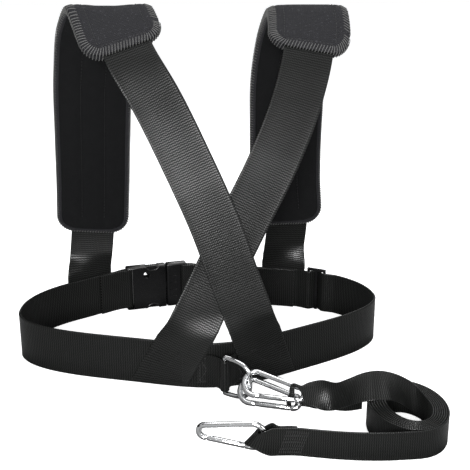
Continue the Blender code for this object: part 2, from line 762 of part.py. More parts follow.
def strap_bend(route, at):
    """How sharply a strap bends at each point, in radians over a length."""
    way = directions(route)
    turn = np.linalg.norm(np.gradient(way, at, axis=0), axis=1)
    return np.convolve(turn, np.ones(5) / 5.0, mode="same")


def strap_places(side):
    """The rows of a strap: those of its feet and free stretches, and those it shares with its pad."""
    route, way, normal = strap_course(side)
    at, start = pad_span(route)
    bend = strap_bend(route, at)
    ends = (start + PAD_CORNER, start + PAD_LENGTH - PAD_CORNER)
    shared = strap_rows(at, bend, ends[0], ends[1], ROW_STEP, ROW_TURN)
    before = strap_rows(at, bend, 0.0, ends[0], ROW_STEP * FRONT_ROW_SHARE, ROW_TURN)
    after = strap_rows(at, bend, ends[1], at[-1], ROW_STEP * BACK_ROW_SHARE, ROW_TURN)
    rows = np.concatenate([before[:-1], shared, after[1:]])
    return route, way, normal, at, start, shared, rows


def pick_rows(values, at, rows):
    """Values read at places along the course."""
    return np.column_stack([np.interp(rows, at, values[:, k]) for k in range(values.shape[1])])


def strap_grid(route, way, normal, width, columns):
    """Grid of middle points across a strap, laid on the belt and cut level at its feet."""
    out = (BELT_THICK + STRAP_THICK) / 2.0 + SEWN_GAP
    grid = np.zeros((len(route), len(columns), 3))
    face = np.zeros_like(grid)
    wide = unit_rows(np.cross(normal, way))
    at = rise_along(route)
    for j, share in enumerate(columns):
        line = route + wide * share * width / 2.0
        for end, gone in ((0, at), (-1, at[-1] - at)):
            slide = (STRAP_FOOT_Z - line[end][2]) / way[end][2]
            ease = np.clip(1.0 - gone / STRAP_FOOT_EASE, 0.0, 1.0)
            line = line + way[end] * (slide * ease)[:, None]
        grid[:, j] = line
        face[:, j] = normal
    for i in range(len(route)):
        front = route[i][1] > 0
        layer = out if front else out + TAB_THICK + SEWN_GAP
        for j in range(len(columns)):
            free = grid[i, j].copy()
            loose = min(1.0, max(0.0, (free[2] - BELT_WIDTH - STRAP_FOOT_RISE) / STRAP_FOOT_BLEND))
            loose = loose * loose * (3.0 - 2.0 * loose)
            if loose < 1.0:
                at_x = outline_place(free[0], front)
                held = outline_point(at_x, layer, free[2])
                outward = unit(outline_point(at_x, layer + OVERRUN) - outline_point(at_x, layer))
                grid[i, j] = held + (free - held) * loose
                face[i, j] = unit(outward + (face[i, j] - outward) * loose)
    return grid, face


def make_strap(side):
    """One shoulder strap, its feet flat on the belt's outer side."""
    route, way, normal, at, _, _, rows = strap_places(side)
    route, way, normal = (pick_rows(values, at, rows) for values in (route, way, normal))
    columns = (-1.0, -0.5, 0.0, 0.5, 1.0)
    grid, face = strap_grid(route, unit_rows(way), unit_rows(normal), STRAP_WIDTH, columns)
    verts, faces = sheet_solid(grid, face, STRAP_THICK)
    return add_solid("shoulder_strap_" + side, verts, faces, "webbing")


def pad_span(route):
    """Stretch of a strap's middle line that its pad covers."""
    at = rise_along(route)
    start = at[np.argmax(route[:, 2] > PAD_LOWER_Z)]
    return at, start


def pad_half_width(d, inset):
    """Half the pad's width at a distance from its nearer end, drawn in by an inset."""
    corner = PAD_CORNER - inset
    half = PAD_WIDTH / 2.0 - inset
    if d >= corner:
        return half
    return half - corner + math.sqrt(max(0.0, corner ** 2 - (corner - d) ** 2))


def pad_frame(side):
    """Function that carries a pad's own places, along, across and through, to the strap's course."""
    route, way, normal = strap_course(side)
    at, start = pad_span(route)
    wide = np.cross(normal, way)

    def carry(s, u, h):
        where = start + s
        parts = []
        for values in (route, wide, normal):
            parts.append(np.array([np.interp(where, at, values[:, k]) for k in range(3)]))
        return parts[0] + u * unit(parts[1]) + h * unit(parts[2])

    return carry


PAD_TOP = -(STRAP_THICK / 2.0 + SEWN_GAP)
PAD_MIDDLE = PAD_TOP - PAD_THICK / 2.0


def edge_drop(share):
    """How far the pad's faces draw in towards its edge."""
    reach = max(0.0, abs(share) - STRAP_WIDTH / PAD_WIDTH) / (1.0 - STRAP_WIDTH / PAD_WIDTH)
    return PAD_EDGE_DROP * reach


def channel(share):
    """Depth of the two sewn channels of the inner face."""
    away = (abs(share) - CHANNEL_PLACE_SHARE) / CHANNEL_SPREAD_SHARE
    return PAD_CHANNEL * math.exp(-(away ** 2))


def pad_rows(inset, shared):
    """Places along the pad for a layer's rows: round at both ends, shared with the strap between them."""
    corner = PAD_CORNER - inset
    turn = np.radians((0.0, 32.0, 62.0))
    first = inset + corner * (1.0 - np.cos(turn))
    return np.concatenate([first, shared, PAD_LENGTH - first[::-1]])


def pad_layer(name, carry, shared, inset, columns, top, bottom, finish):
    """One layer of a pad between two heights, each a function of the share and the distance across."""
    rows = pad_rows(inset, shared)
    upper = np.zeros((len(rows), len(columns), 3))
    lower = np.zeros_like(upper)
    for i, s in enumerate(rows):
        half = pad_half_width(min(s, PAD_LENGTH - s) - inset, inset)
        for j, share in enumerate(columns):
            across = share * half
            upper[i, j] = carry(s, across, top(share, across))
            lower[i, j] = carry(s, across, bottom(share, across))
    verts, faces = two_sided(upper, lower, len(rows), len(columns))
    return add_solid(name, verts, faces, finish)


def cover_top(share, across):
    """Height of the cover's outer face, level over the strap and drawn down towards the edge."""
    level = STRAP_WIDTH / 2.0 + COVER_FLAT_PAST_STRAP
    reach = max(0.0, abs(across) - level) / (PAD_WIDTH / 2.0 - level)
    return STRAP_THICK / 2.0 + SEWN_GAP + PAD_SKIN - COVER_EDGE_DROP * reach


def cover_under(share, across):
    """Height of the cover's inner face."""
    return cover_top(share, across) - PAD_SKIN


def foam_top(share, across):
    """Height of the foam's face under the strap."""
    return PAD_TOP - edge_drop(share)


def foam_under(share, across):
    """Height of the foam's face against the lining."""
    return pad_under(share, across) + PAD_SKIN + GAP


def lining_top(share, across):
    """Height of the lining's hidden face."""
    return pad_under(share, across) + PAD_SKIN


def pad_under(share, across):
    """Height of the pad's inner face, with its two sewn channels."""
    return PAD_TOP - PAD_THICK + edge_drop(share) + channel(share)


def make_pad(side):
    """One shoulder pad: the cover over its strap, the foam under the strap, the lining and the bound edge."""
    carry = pad_frame(side)
    _, _, _, _, start, shared, _ = strap_places(side)
    shared = shared - start
    inset = BINDING_WIDTH + SEWN_GAP
    columns = PAD_COLUMN_SHARES
    cover = (COVER_COLUMN_SHARES, cover_top, cover_under)
    pad_layer("pad_cover_" + side, carry, shared, SEWN_GAP, *cover, "pad_fabric")
    pad_layer("pad_foam_" + side, carry, shared, inset, columns, foam_top, foam_under, "foam")
    pad_layer("pad_lining_" + side, carry, shared, inset, columns, lining_top, pad_under, "pad_lining")
    make_binding(side, carry, shared)


def make_binding(side, carry, shared):
    """Tape bound round the pad's edge."""
    inset = BINDING_WIDTH / 2.0
    edge = []
    corner = PAD_CORNER - inset
    half = PAD_WIDTH / 2.0 - inset
    step = 90.0 / BINDING_CORNER_STEPS
    far = PAD_LENGTH - PAD_CORNER
    for centre_u, first in ((half - corner, 0.0), (corner - half, 90.0)):
        for k in range(BINDING_CORNER_STEPS + 1):
            a = math.radians(90.0 - first - step * k)
            edge.append((far + corner * math.cos(a), centre_u + corner * math.sin(a)))
    straight = shared[1:-1][::-1]
    edge += [(s, -half) for s in straight]
    for centre_u, first in ((corner - half, 0.0), (half - corner, 90.0)):
        for k in range(BINDING_CORNER_STEPS + 1):
            a = math.radians(-90.0 - first - step * k)
            edge.append((PAD_CORNER + corner * math.cos(a), centre_u + corner * math.sin(a)))
    edge += [(s, half) for s in straight[::-1]]
    edge = np.array(edge)
    ahead = np.roll(edge, -1, axis=0) - np.roll(edge, 1, axis=0)
    outward = np.column_stack([ahead[:, 1], -ahead[:, 0]])
    outward /= np.linalg.norm(outward, axis=1)[:, None]
    rings = []
    for (s, u), (ds, du) in zip(edge, outward):
        ring = []
        for k in range(6):
            a = math.radians(60.0 * k)
            reach = BINDING_WIDTH / 2.0 * math.cos(a)
            height = BINDING_THICK / 2.0 * math.sin(a) / math.cos(math.radians(30.0))
            ring.append(carry(s + ds * reach, u + du * reach, PAD_MIDDLE + height))
        rings.append(ring)
    verts, faces = skin(rings, closed=True)
    add_solid("pad_binding_" + side, verts, faces, "binding")


# Ring tab and ring


def ring_axes():
    """The upright bar's place, the direction its bow points and the height of its middle."""
    reach = BELT_THICK / 2.0 + TAB_ARCH - RING_WIRE / 2.0
    bar = outline_point(outline_place(BACK_PULL_X, False), reach)
    way = np.array([math.cos(math.radians(RING_SWING_DEG)), math.sin(math.radians(RING_SWING_DEG)), 0.0])
    return bar, way, RING_HEIGHT / 2.0


def make_tab():
    """Webbing tab sewn on the belt's outer side, arched over the ring's bar."""
    at = outline_place(BACK_PULL_X, False)
    foot = (BELT_THICK + TAB_THICK) / 2.0 + GAP
    clear = RING_WIRE / 2.0 + GAP + TAB_THICK / 2.0
    bar, _, middle = ring_axes()
    back = outline_point(at)
    out = unit(outline_point(at, OVERRUN) - back)
    along = np.array([out[1], -out[0], 0.0])
    near = clear * TAB_FOOT_START_SHARE
    plan = [outline_point(at - near - TAB_FOOT * k / 3.0, foot) for k in (3, 2, 1)]
    centre = np.array([bar[0], bar[1], 0.0])
    if np.dot(plan[0] - back, along) > 0:
        along = -along
    neck = np.linalg.norm(centre[:2] - back[:2]) - foot
    plan += [back + out * (foot + neck * t) - along * clear * w for t, w in TAB_NECK_SHARES]
    angles = np.radians(np.linspace(200.0, -20.0, 10))
    plan += [centre + clear * (math.cos(a) * along + math.sin(a) * out) for a in angles]
    plan += [back + out * (foot + neck * t) + along * clear * w for t, w in TAB_NECK_SHARES[::-1]]
    plan += [outline_point(at + near + TAB_FOOT * k / 3.0, foot) for k in (1, 2, 3)]
    base = middle - TAB_WIDTH / 2.0
    return upright_strip("ring_tab", np.array(plan), TAB_WIDTH, TAB_THICK, "webbing", base)


def make_ring():
    """Wire ring with a straight upright bar and a bow."""
    bar, way, middle = ring_axes()
    half = (RING_HEIGHT - RING_WIRE) / 2.0
    points = []
    for k in range(25):
        a = math.radians(-90.0 + 180.0 * k / 24.0)
        c, s = math.cos(a), math.sin(a)
        reach = RING_DEPTH * abs(c) ** (2.0 / RING_POWER)
        rise = half * math.copysign(abs(s) ** (2.0 / RING_POWER), s)
        points.append(bar + way * reach + np.array([0.0, 0.0, middle + rise]))
    bar_top = points[-1]
    bar_low = points[0]
    points += [bar_top + (bar_low - bar_top) * t for t in (0.25, 0.5, 0.75)]
    route = np.array(points)
    side = unit(np.cross(way, (0.0, 0.0, 1.0)))
    ways = unit_rows(np.roll(route, -1, axis=0) - np.roll(route, 1, axis=0))
    angles = np.linspace(0.0, 2.0 * math.pi, 10, endpoint=False)
    rings = []
    for p, w in zip(route, ways):
        other = np.cross(w, side)
        rings.append([p + RING_WIRE / 2.0 * (math.cos(a) * side + math.sin(a) * other) for a in angles])
    verts, faces = skin(rings, closed=True)
    add_solid("d_ring", verts, faces, "plated_steel", origin=(bar[0], bar[1], middle))
    say("ring hinge", (bar[0], bar[1], middle), (0.0, 0.0, 1.0))


def unit_rows(rows):
    """Each row at length one."""
    return rows / np.linalg.norm(rows, axis=1)[:, None]


# Snap hooks


def hook_axes(heading_deg, tilt_deg, pitch_deg=0.0):
    """A hook's own axes: along it from wide to narrow end, square to its plane, and from gate to spine."""
    heading = math.radians(heading_deg)
    pitch = math.radians(pitch_deg)
    along = np.array([math.cos(heading) * math.cos(pitch), math.sin(heading) * math.cos(pitch), math.sin(pitch)])
    flat_side = unit(np.cross((0.0, 0.0, 1.0), along))
    up = np.cross(along, flat_side)
    tilt = math.radians(tilt_deg)
    spine = math.cos(tilt) * up + math.sin(tilt) * flat_side
    return along, np.cross(spine, along), spine


def hook_route():
    """Middle line of the hook's wire in its own axes, from the hinge end round the spine to the nose."""
    wide = (HOOK_WIDE - HOOK_WIRE) / 2.0
    narrow = (HOOK_NARROW - HOOK_WIRE) / 2.0
    wide_x = HOOK_WIRE / 2.0 + wide
    narrow_x = HOOK_LENGTH - HOOK_WIRE / 2.0 - narrow
    slope = math.asin((wide - narrow) / (narrow_x - wide_x))
    hinge_x = HOOK_LENGTH - HINGE_FROM_NARROW
    points = [(hinge_x + SHOULDER_REACH, 0.0)]
    for k in range(9):
        a = -math.pi / 2.0 + (math.pi - slope) * k / 8.0
        points.append((narrow_x + narrow * math.cos(a), narrow + narrow * math.sin(a)))
    start = points[-1]
    top = (wide_x + wide * math.sin(slope), wide + wide * math.cos(slope))
    for k in (1, 2, 3):
        points.append((start[0] + (top[0] - start[0]) * k / 4.0, start[1] + (top[1] - start[1]) * k / 4.0))
    for k in range(13):
        a = math.pi / 2.0 - slope + (math.pi + slope) * k / 12.0
        points.append((wide_x + wide * math.cos(a), wide + wide * math.sin(a)))
    points.append((NOSE_FROM_WIDE - FORK_REACH - GAP, 0.0))
    return np.array([(x, 0.0, z) for x, z in points])


def make_hook(letter, axes, seat):
    """One snap hook: bent wire frame, gate, rivet and the spring in the gate."""
    along, square, spine = axes
    side = np.array([0.0, 1.0, 0.0])
    route = hook_route()
    rings = round_rings(route, side, HOOK_WIRE / 2.0)
    hinge_x = HOOK_LENGTH - HINGE_FROM_NARROW
    nose_x = route[-1][0]
    slim = TONGUE_THICK / HOOK_WIRE
    hinge_tip = [(hinge_x + SHOULDER_REACH, HOOK_TONGUE_SHARES[0][1])]
    hinge_tip += [(hinge_x - FORK_REACH * reach, tall) for reach, tall in HOOK_TONGUE_SHARES]
    first = np.array(rings[0]) - route[0]
    start = [first * (1.0, slim, tall) + (x, 0.0, 0.0) for x, tall in hinge_tip][::-1]
    nose_tip = [(nose_x + FORK_REACH * reach, tall) for reach, tall in HOOK_NOSE_SHARES]
    last = np.array(rings[-1]) - route[-1]
    end = [last * (1.0, slim, tall) + (x, 0.0, 0.0) for x, tall in nose_tip]
    verts, faces = skin(start + [np.array(ring) for ring in rings] + end)
    frame_axes = (along, square, spine)
    frame = add_solid("hook_frame_" + letter, place(verts, frame_axes, seat), faces, "plated_steel", origin=seat)
    hinge = place([(hinge_x, 0.0, 0.0)], frame_axes, seat)[0]
    hole = pin_body((hinge_x, 0.0, 0.0), RIVET_DIAMETER / 2.0 + GAP, HOOK_WIRE + OVERRUN)
    cut(frame, "frame_hole_" + letter, place(hole[0], frame_axes, seat), hole[1])
    make_gate(letter, frame_axes, seat, hinge, hinge_x)
    rivet = pin_body((hinge_x, 0.0, 0.0), RIVET_DIAMETER / 2.0, GATE_DIAMETER - GAP)
    add_solid("gate_rivet_" + letter, place(rivet[0], frame_axes, seat), rivet[1], "plated_steel", origin=hinge)
    say("gate " + letter, hinge, square)


def pin_body(at, radius, length, sides=10):
    """Round pin across a hook's plane."""
    rings = []
    for y in (-length / 2.0, length / 2.0):
        rings.append([(at[0] + radius * math.cos(a), at[1] + y, at[2] + radius * math.sin(a))
                      for a in np.arange(sides) * 2.0 * math.pi / sides])
    return skin(rings)


def make_gate(letter, axes, seat, hinge, hinge_x):
    """Round gate forked over the frame's tongue at both ends, bored for its spring."""
    radius = GATE_DIAMETER / 2.0
    near = NOSE_FROM_WIDE - FORK_REACH
    far = hinge_x + FORK_REACH
    angles = (np.arange(12) + 0.5) * math.pi / 6.0
    rings = []
    ends = (near, near, far, far)
    for end, (inset, size) in zip(ends, GATE_END_SHARES):
        x = end + radius * inset if end == near else end - radius * inset
        rings.append([(x, radius * size * math.cos(a), radius * size * math.sin(a)) for a in angles])
    verts, faces = skin(rings)
    gate = add_solid("hook_gate_" + letter, place(verts, axes, seat), faces, "plated_steel", origin=hinge)
    slot = TONGUE_THICK / 2.0 + GAP
    for name, low, high in (
        ("gate_slot_nose_", near - OVERRUN, near + FORK_REACH * HOOK_NOSE_SHARES[-1][0] + 3.0 * GAP),
        ("gate_slot_hinge_", hinge_x - FORK_REACH, far + OVERRUN)):
        verts, faces = box((low, -slot, -radius - OVERRUN), (high, slot, radius + OVERRUN))
        cut(gate, name + letter, place(verts, axes, seat), faces)
    bore_end = hinge_x - FORK_REACH - SPRING_LENGTH - GAP
    bore = SPRING_DIAMETER / 2.0 + GAP
    rings = [[(x, bore * math.cos(a), bore * math.sin(a)) for a in np.arange(8) * math.pi / 4.0]
             for x in (bore_end, hinge_x - FORK_REACH + GAP)]
    verts, faces = skin(rings)
    cut(gate, "gate_bore_" + letter, place(verts, axes, seat), faces)
    verts, faces = pin_body((hinge_x, 0.0, 0.0), RIVET_DIAMETER / 2.0 + GAP, HOOK_WIRE + OVERRUN)
    cut(gate, "gate_rivet_hole_" + letter, place(verts, axes, seat), faces)
    turns = SPRING_TURNS * 8
    points = []
    radius = (SPRING_DIAMETER - SPRING_WIRE) / 2.0
    length = SPRING_LENGTH - SPRING_WIRE - GAP
    for k in range(turns + 1):
        a = 2.0 * math.pi * k / 8.0
        x = bore_end + GAP + SPRING_WIRE / 2.0 + length * k / turns
        points.append((x, radius * math.cos(a), radius * math.sin(a)))
    route = np.array(points)
    ways = directions(route)
    rings = []
    for p, w in zip(route, ways):
        first = unit(np.cross(w, (1.0, 0.0, 0.0)))
        other = np.cross(w, first)
        rings.append([p + SPRING_WIRE / 2.0 * (math.cos(a) * first + math.sin(a) * other)
                      for a in np.arange(4) * math.pi / 2.0])
    verts, faces = skin(rings)
    add_solid("gate_spring_" + letter, place(verts, axes, seat), faces, "spring_steel", origin=hinge)


def pair_seats():
    """Seats and axes of the two hooks that hang on the ring, one over the other."""
    bar, way, _ = ring_axes()
    hang = bar + way * RING_DEPTH
    axes = hook_axes(PAIR_HEADING_DEG, PAIR_TILT_DEG)
    along, square, spine = axes
    tilt = math.radians(PAIR_TILT_DEG)
    across = (HOOK_WIDE - HOOK_WIRE) / 2.0 * math.sin(tilt)
    stack = (HOOK_WIRE + GAP) / math.sin(tilt)
    level = np.array([along[0], along[1], 0.0])
    away = unit(np.array([spine[0], spine[1], 0.0]))
    lower = hang - level * (PAIR_SEAT - LOWER_HOOK_SHIFT) - away * across
    lower[2] = HOOK_WIRE / 2.0 + PAIR_LIFT
    upper = hang - level * PAIR_SEAT - away * across
    upper[2] = lower[2] + stack
    return axes, upper, lower, hang


def free_hook_seat():
    """Seat and axes of the third hook, upright, its wide end in the strap's lower loop."""
    axes = hook_axes(FREE_HOOK_HEADING_DEG, 0.0, FREE_HOOK_PITCH_DEG)
    seat = np.array([FREE_HOOK_SEAT[0], FREE_HOOK_SEAT[1], HOOK_WIRE / 2.0])
    return axes, seat


def make_hooks():
    """The two hooks on the ring and the free one in the lower loop."""
    axes, upper, lower, hang = pair_seats()
    make_hook("upper", axes, upper)
    make_hook("lower", axes, lower)
    say("pair hinge", hang, (0.0, 0.0, 1.0))
    axes, seat = free_hook_seat()
    make_hook("free", axes, seat)
    pivot = seat + axes[0] * HOOK_WIRE / 2.0
    say("free hook hinge", pivot, (0.0, 0.0, 1.0))


# Pull strap


def coil_point(turns):
    """Point of the wound strap after so many turns inwards from the near side."""
    a = -math.pi / 2.0 + 2.0 * math.pi * turns
    drift = (COIL_PITCH_LEFT - COIL_PITCH_RIGHT) / 2.0 * turns
    tight = (COIL_PITCH_LEFT + COIL_PITCH_RIGHT) / 2.0 * turns
    x = COIL_CENTRE[0] + drift + (COIL_HALF_LENGTH - tight) * math.cos(a)
    y = COIL_CENTRE[1] + (COIL_HALF_DEPTH - COIL_PITCH_NEAR * turns) * math.sin(a)
    return np.array([x, y, 0.0])


def make_coil():
    """Lower run and wound turns of the pull strap in one unbroken piece, standing on edge."""
    count = int(COIL_TURNS * COIL_STEPS_PER_TURN)
    turns = COIL_LEAD_SHARE + (COIL_TURNS - COIL_LEAD_SHARE) * np.arange(count + 1) / count
    wound = np.array([coil_point(t) for t in turns])
    run = [np.array([x, y, 0.0]) for x, y in LOWER_RUN]
    entry = smooth_route(run + [wound[0], wound[1]], 14)[:-2]
    plan = np.concatenate([entry, wound])
    least = 9.0
    per_turn = COIL_STEPS_PER_TURN
    for i in range(len(wound) - per_turn // 2 - 1):
        ahead = wound[i + per_turn // 2:]
        starts, ends = ahead[:-1], ahead[1:]
        span = ends - starts
        t = np.clip(np.sum((wound[i] - starts) * span, axis=1) / np.sum(span * span, axis=1), 0.0, 1.0)
        least = min(least, np.min(np.linalg.norm(starts + span * t[:, None] - wound[i], axis=1)))
    print("least gap of the wound strap to itself in mm:", round((least - PULL_THICK) * 1000.0, 3))
    upright_strip("pull_strap_coil", plan, PULL_WIDTH, PULL_THICK, "webbing")
    return plan


def make_lower_loop():
    """The strap's lower end: a loop round the free hook's wide end, sewn back on itself."""
    axes, seat = free_hook_seat()
    along = unit(np.array([axes[0][0], axes[0][1], 0.0]))
    side = np.cross(along, (0.0, 0.0, 1.0))
    wire = seat + along * HOOK_WIRE / 2.0
    wire[2] = 0.0
    run = np.array([LOWER_RUN[0][0], LOWER_RUN[0][1], 0.0])
    spread = LOOP_LEG_SPREAD
    fold = wire + along * LOOP_FOLD_FROM_END
    if side[1] > 0:
        side = -side
    leg = PULL_THICK + 3.0 * GAP
    start_way = unit(np.array([LOWER_RUN[1][0] - LOWER_RUN[0][0], LOWER_RUN[1][1] - LOWER_RUN[0][1], 0.0]))
    sideways = np.array([-start_way[1], start_way[0], 0.0])
    far_end = run - start_way * (run[0] - LOOP_TAIL_X) + sideways * leg
    stretch = np.linalg.norm(run - wire)
    leave, first, last = (stretch * share for share in LOOP_RUN_SHARES)
    narrow, mouth, bend, heel = (side * spread * share for share in LOOP_SIDE_SHARES)
    crown = fold + along * LOOP_FOLD_THICK * LOOP_CROWN_SHARE
    behind = wire - along * HOOK_WIRE * LOOP_WIRE_SHARE
    plan = [
        run - start_way * GAP,
        run - start_way * leave,
        wire - along * first + narrow,
        behind + mouth,
        wire + side * spread,
        fold + bend,
        crown,
        fold - bend,
        wire - side * spread,
        behind - mouth,
        wire - along * last - heel,
        far_end - start_way * HOOK_WIRE,
        far_end,
    ]
    plan = smooth_route(plan, 52)
    reach = np.linalg.norm(plan - crown, axis=1)
    near_share, far_share = LOOP_EASE_SHARES
    ease = np.clip((reach - HOOK_WIRE * near_share) / (HOOK_WIRE * far_share), 0.0, 1.0)
    ease = ease * ease * (3.0 - 2.0 * ease)
    width = LOOP_FOLD_HEIGHT + (PULL_WIDTH - LOOP_FOLD_HEIGHT) * ease
    thick = LOOP_FOLD_THICK + (PULL_THICK - LOOP_FOLD_THICK) * ease
    middle_low = HOOK_WIDE / 2.0
    centre = middle_low + (PULL_WIDTH / 2.0 - middle_low) * ease
    ways = directions(plan)
    across = np.column_stack([-ways[:, 1], ways[:, 0], np.zeros(len(plan))])
    up = np.tile([0.0, 0.0, 1.0], (len(plan), 1))
    middle = plan + np.column_stack([np.zeros((len(plan), 2)), centre])
    verts, faces = skin(strip_rings(middle, up, across, width, thick))
    add_solid("pull_strap_lower_loop", verts, faces, "webbing")


def upper_run_stations(inner_end, inner_way):
    """Stations of the upper run from the coil to the hooks: place, width direction, width and thickness."""
    up = np.array([0.0, 0.0, 1.0])
    places = [inner_end + inner_way * GAP + up * PULL_WIDTH / 2.0] + [np.array(p[:3]) for p in UPPER_RUN]
    leans = [0.0] + [math.radians(p[3]) for p in UPPER_RUN]
    ways = directions(np.array(places))
    stations = []
    for p, way, lean in zip(places, ways, leans):
        right = unit((way[1], -way[0], 0.0))
        stations.append((p, math.cos(lean) * up + math.sin(lean) * right, PULL_WIDTH, PULL_THICK))
    return stations


def eye_stations():
    """Stations of the gathered eye: before the upper hook, down through both, and out behind the lower one."""
    axes, upper, lower, _ = pair_seats()
    along, square, spine = axes
    toward = -square
    level = unit((along[0], along[1], 0.0))
    away = unit((spine[0], spine[1], 0.0))
    tilt = math.radians(PAIR_TILT_DEG)
    wide = (HOOK_WIDE - HOOK_WIRE) / 2.0
    narrow = (HOOK_NARROW - HOOK_WIRE) / 2.0
    slope = 2.0 * (wide - narrow) / (HOOK_LENGTH - HOOK_WIRE - wide - narrow)
    opening = 2.0 * narrow + slope * (HOOK_LENGTH - HOOK_WIRE / 2.0 - narrow - EYE_FROM_WIDE)
    leg = HOOK_WIRE / 2.0 + EYE_CLEAR + EYE_THICK / 2.0
    rise = leg / math.sin(tilt)
    middle = opening / 2.0
    high = middle + rise * math.cos(tilt)
    low = middle - rise * math.cos(tilt)

    def beside(seat, far, over, off):
        return seat + along * far + spine * over + toward * off

    neck_top = upper + level * EYE_FROM_WIDE + spine * middle
    low_from = EYE_FROM_WIDE - LOWER_HOOK_SHIFT / 3.0
    neck_low = lower + level * low_from + spine * middle
    up = np.array([0.0, 0.0, 1.0])
    past = HOOK_LENGTH + HOOK_WIRE
    tall, end_tall = EYE_NECK_SHARES
    ways = (spine, spine, spine, unit(spine + away), away)
    widths = (PULL_WIDTH, PULL_WIDTH, EYE_WIDTH, EYE_NECK_WIDTH, EYE_NECK_WIDTH)
    thicks = (PULL_THICK, EYE_THICK, EYE_THICK, EYE_THICK, EYE_NECK_DEPTH)
    starts = (past, past, EYE_FROM_WIDE, EYE_FROM_WIDE, EYE_FROM_WIDE)
    units = (HOOK_WIRE, HOOK_WIRE, HOOK_WIRE, EYE_THICK, EYE_THICK)
    overs = (narrow, narrow, narrow + high / 2.0 / EYE_IN_SHARES[2][1], high, high)
    stations = []
    for k, (far, over, off, wide_share, thick_share) in enumerate(EYE_IN_SHARES):
        reach = leg * off if k < 4 else leg - EYE_THICK * off
        place_at = beside(upper, starts[k] + units[k] * far, overs[k] * over, reach)
        stations.append((place_at, ways[k], widths[k] * wide_share, thicks[k] * thick_share))
    for at, share in (
            (neck_top + up * rise * tall, 1.0), (neck_top, 1.0), ((neck_top + neck_low) / 2.0, 1.0),
            (neck_low, 1.0), (neck_low - up * rise * tall, end_tall)):
        stations.append((at, away, EYE_NECK_WIDTH, EYE_NECK_DEPTH * share))
    ways = (away, unit(spine + away), spine, spine)
    widths = (EYE_NECK_WIDTH, EYE_NECK_WIDTH, EYE_WIDTH, EYE_WIDTH)
    starts = (low_from, low_from, low_from, past)
    units = (EYE_THICK, EYE_THICK, HOOK_WIRE, 0.0)
    overs = (low, low, narrow, narrow)
    for k, (far, over, off, wide_share, thick_share) in enumerate(EYE_OUT_SHARES):
        reach = -leg * off if k else EYE_THICK * off - leg
        place_at = beside(lower, starts[k] + units[k] * far, overs[k] * over, reach)
        stations.append((place_at, ways[k], widths[k] * wide_share, EYE_THICK * thick_share))
    return stations


def make_upper_end(inner_end, inner_way):
    """Builds the upper run, its eye through both hooks and its sewn tail as one strip."""
    up = np.array([0.0, 0.0, 1.0])
    stations = upper_run_stations(inner_end, inner_way) + eye_stations()
    stations += [(np.array([x, y, z]), up, width, PULL_THICK) for x, y, z, width in EYE_TAIL]
    rows = np.array([[*p, *w, a, b] for p, w, a, b in stations])
    even = smooth_rows(rows, 1)
    route = even[:, :3]
    ways = directions(route)
    wide = unit_rows(even[:, 3:6])
    thick = unit_rows(np.cross(ways, wide))
    verts, faces = skin(strip_rings(route, wide, thick, even[:, 6], even[:, 7]))
    add_solid("pull_strap_upper_end", verts, faces, "webbing")


def smooth_rows(rows, between):
    """Rows of a table with smoothly set rows put in between, spaced as the first three values run."""
    at = rise_along(rows[:, :3])
    slopes = np.gradient(rows, at, axis=0)
    out = []
    for k in range(len(rows) - 1):
        span = at[k + 1] - at[k]
        for j in range(between + 1):
            t = j / (between + 1)
            start = (1 + 2 * t) * (1 - t) ** 2 * rows[k] + t * (1 - t) ** 2 * span * slopes[k]
            end = t * t * (3 - 2 * t) * rows[k + 1] + t * t * (t - 1) * span * slopes[k + 1]
            out.append(start + end)
    out.append(rows[-1])
    return np.array(out)


def say(what, at, axis):
    """Prints a joint's place and axis in the part's frame."""
    at = np.asarray(at, float) - DATUM
    print(what, "at", [round(float(v), 5) for v in at], "axis", [round(float(v), 5) for v in axis])


for old in list(bpy.data.objects):
    bpy.data.objects.remove(old)

FRAME = bpy.data.objects.new("trainer_frame", None)
bpy.context.collection.objects.link(FRAME)
FRAME.location = tuple(-DATUM)

make_belt()
make_slider()
make_socket()
make_plug()
make_prongs()
for which in ("left", "right"):
    make_strap(which)
    make_pad(which)
make_tab()
make_ring()
make_hooks()
coil_plan = make_coil()
make_lower_loop()
make_upper_end(coil_plan[-1], unit(coil_plan[-1] - coil_plan[-2]))
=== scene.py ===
"""Looks of the resistance sprint trainer: webbing, pads, stitching, buckle, ring, snap hooks, pull strap and stage.

Metres, +Z up, in the part's own frame. Routes are worked out on the belt's plan and moved by DATUM at the end.
"""

import math

import bmesh
import bpy
import numpy as np
from bpy.props import FloatProperty, FloatVectorProperty, PointerProperty
from mathutils import Matrix


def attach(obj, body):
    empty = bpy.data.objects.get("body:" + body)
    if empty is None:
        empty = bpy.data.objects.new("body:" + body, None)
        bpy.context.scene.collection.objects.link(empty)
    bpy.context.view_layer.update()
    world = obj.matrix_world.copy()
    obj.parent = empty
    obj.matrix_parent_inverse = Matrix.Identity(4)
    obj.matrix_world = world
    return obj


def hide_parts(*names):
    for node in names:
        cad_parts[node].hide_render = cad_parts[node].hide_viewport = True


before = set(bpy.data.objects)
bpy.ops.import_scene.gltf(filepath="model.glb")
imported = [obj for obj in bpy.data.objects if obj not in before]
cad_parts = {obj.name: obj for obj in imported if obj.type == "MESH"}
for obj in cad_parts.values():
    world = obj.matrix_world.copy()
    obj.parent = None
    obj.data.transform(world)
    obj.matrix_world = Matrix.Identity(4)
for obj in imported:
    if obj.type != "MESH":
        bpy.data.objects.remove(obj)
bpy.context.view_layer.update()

bl_info = {
    "name": "Sprint trainer looks",
    "version": (1, 0, 0),
    "blender": (4, 5, 0),
    "location": "View3D > Sidebar > Trainer",
    "description": "Builds the webbing, pads, hardware and stage of a sprint trainer round its fixed frame",
    "category": "Object",
}

# Clear space between touching pieces, and between sewn layers
GAP, SEWN_GAP = 0.0003, 0.0005

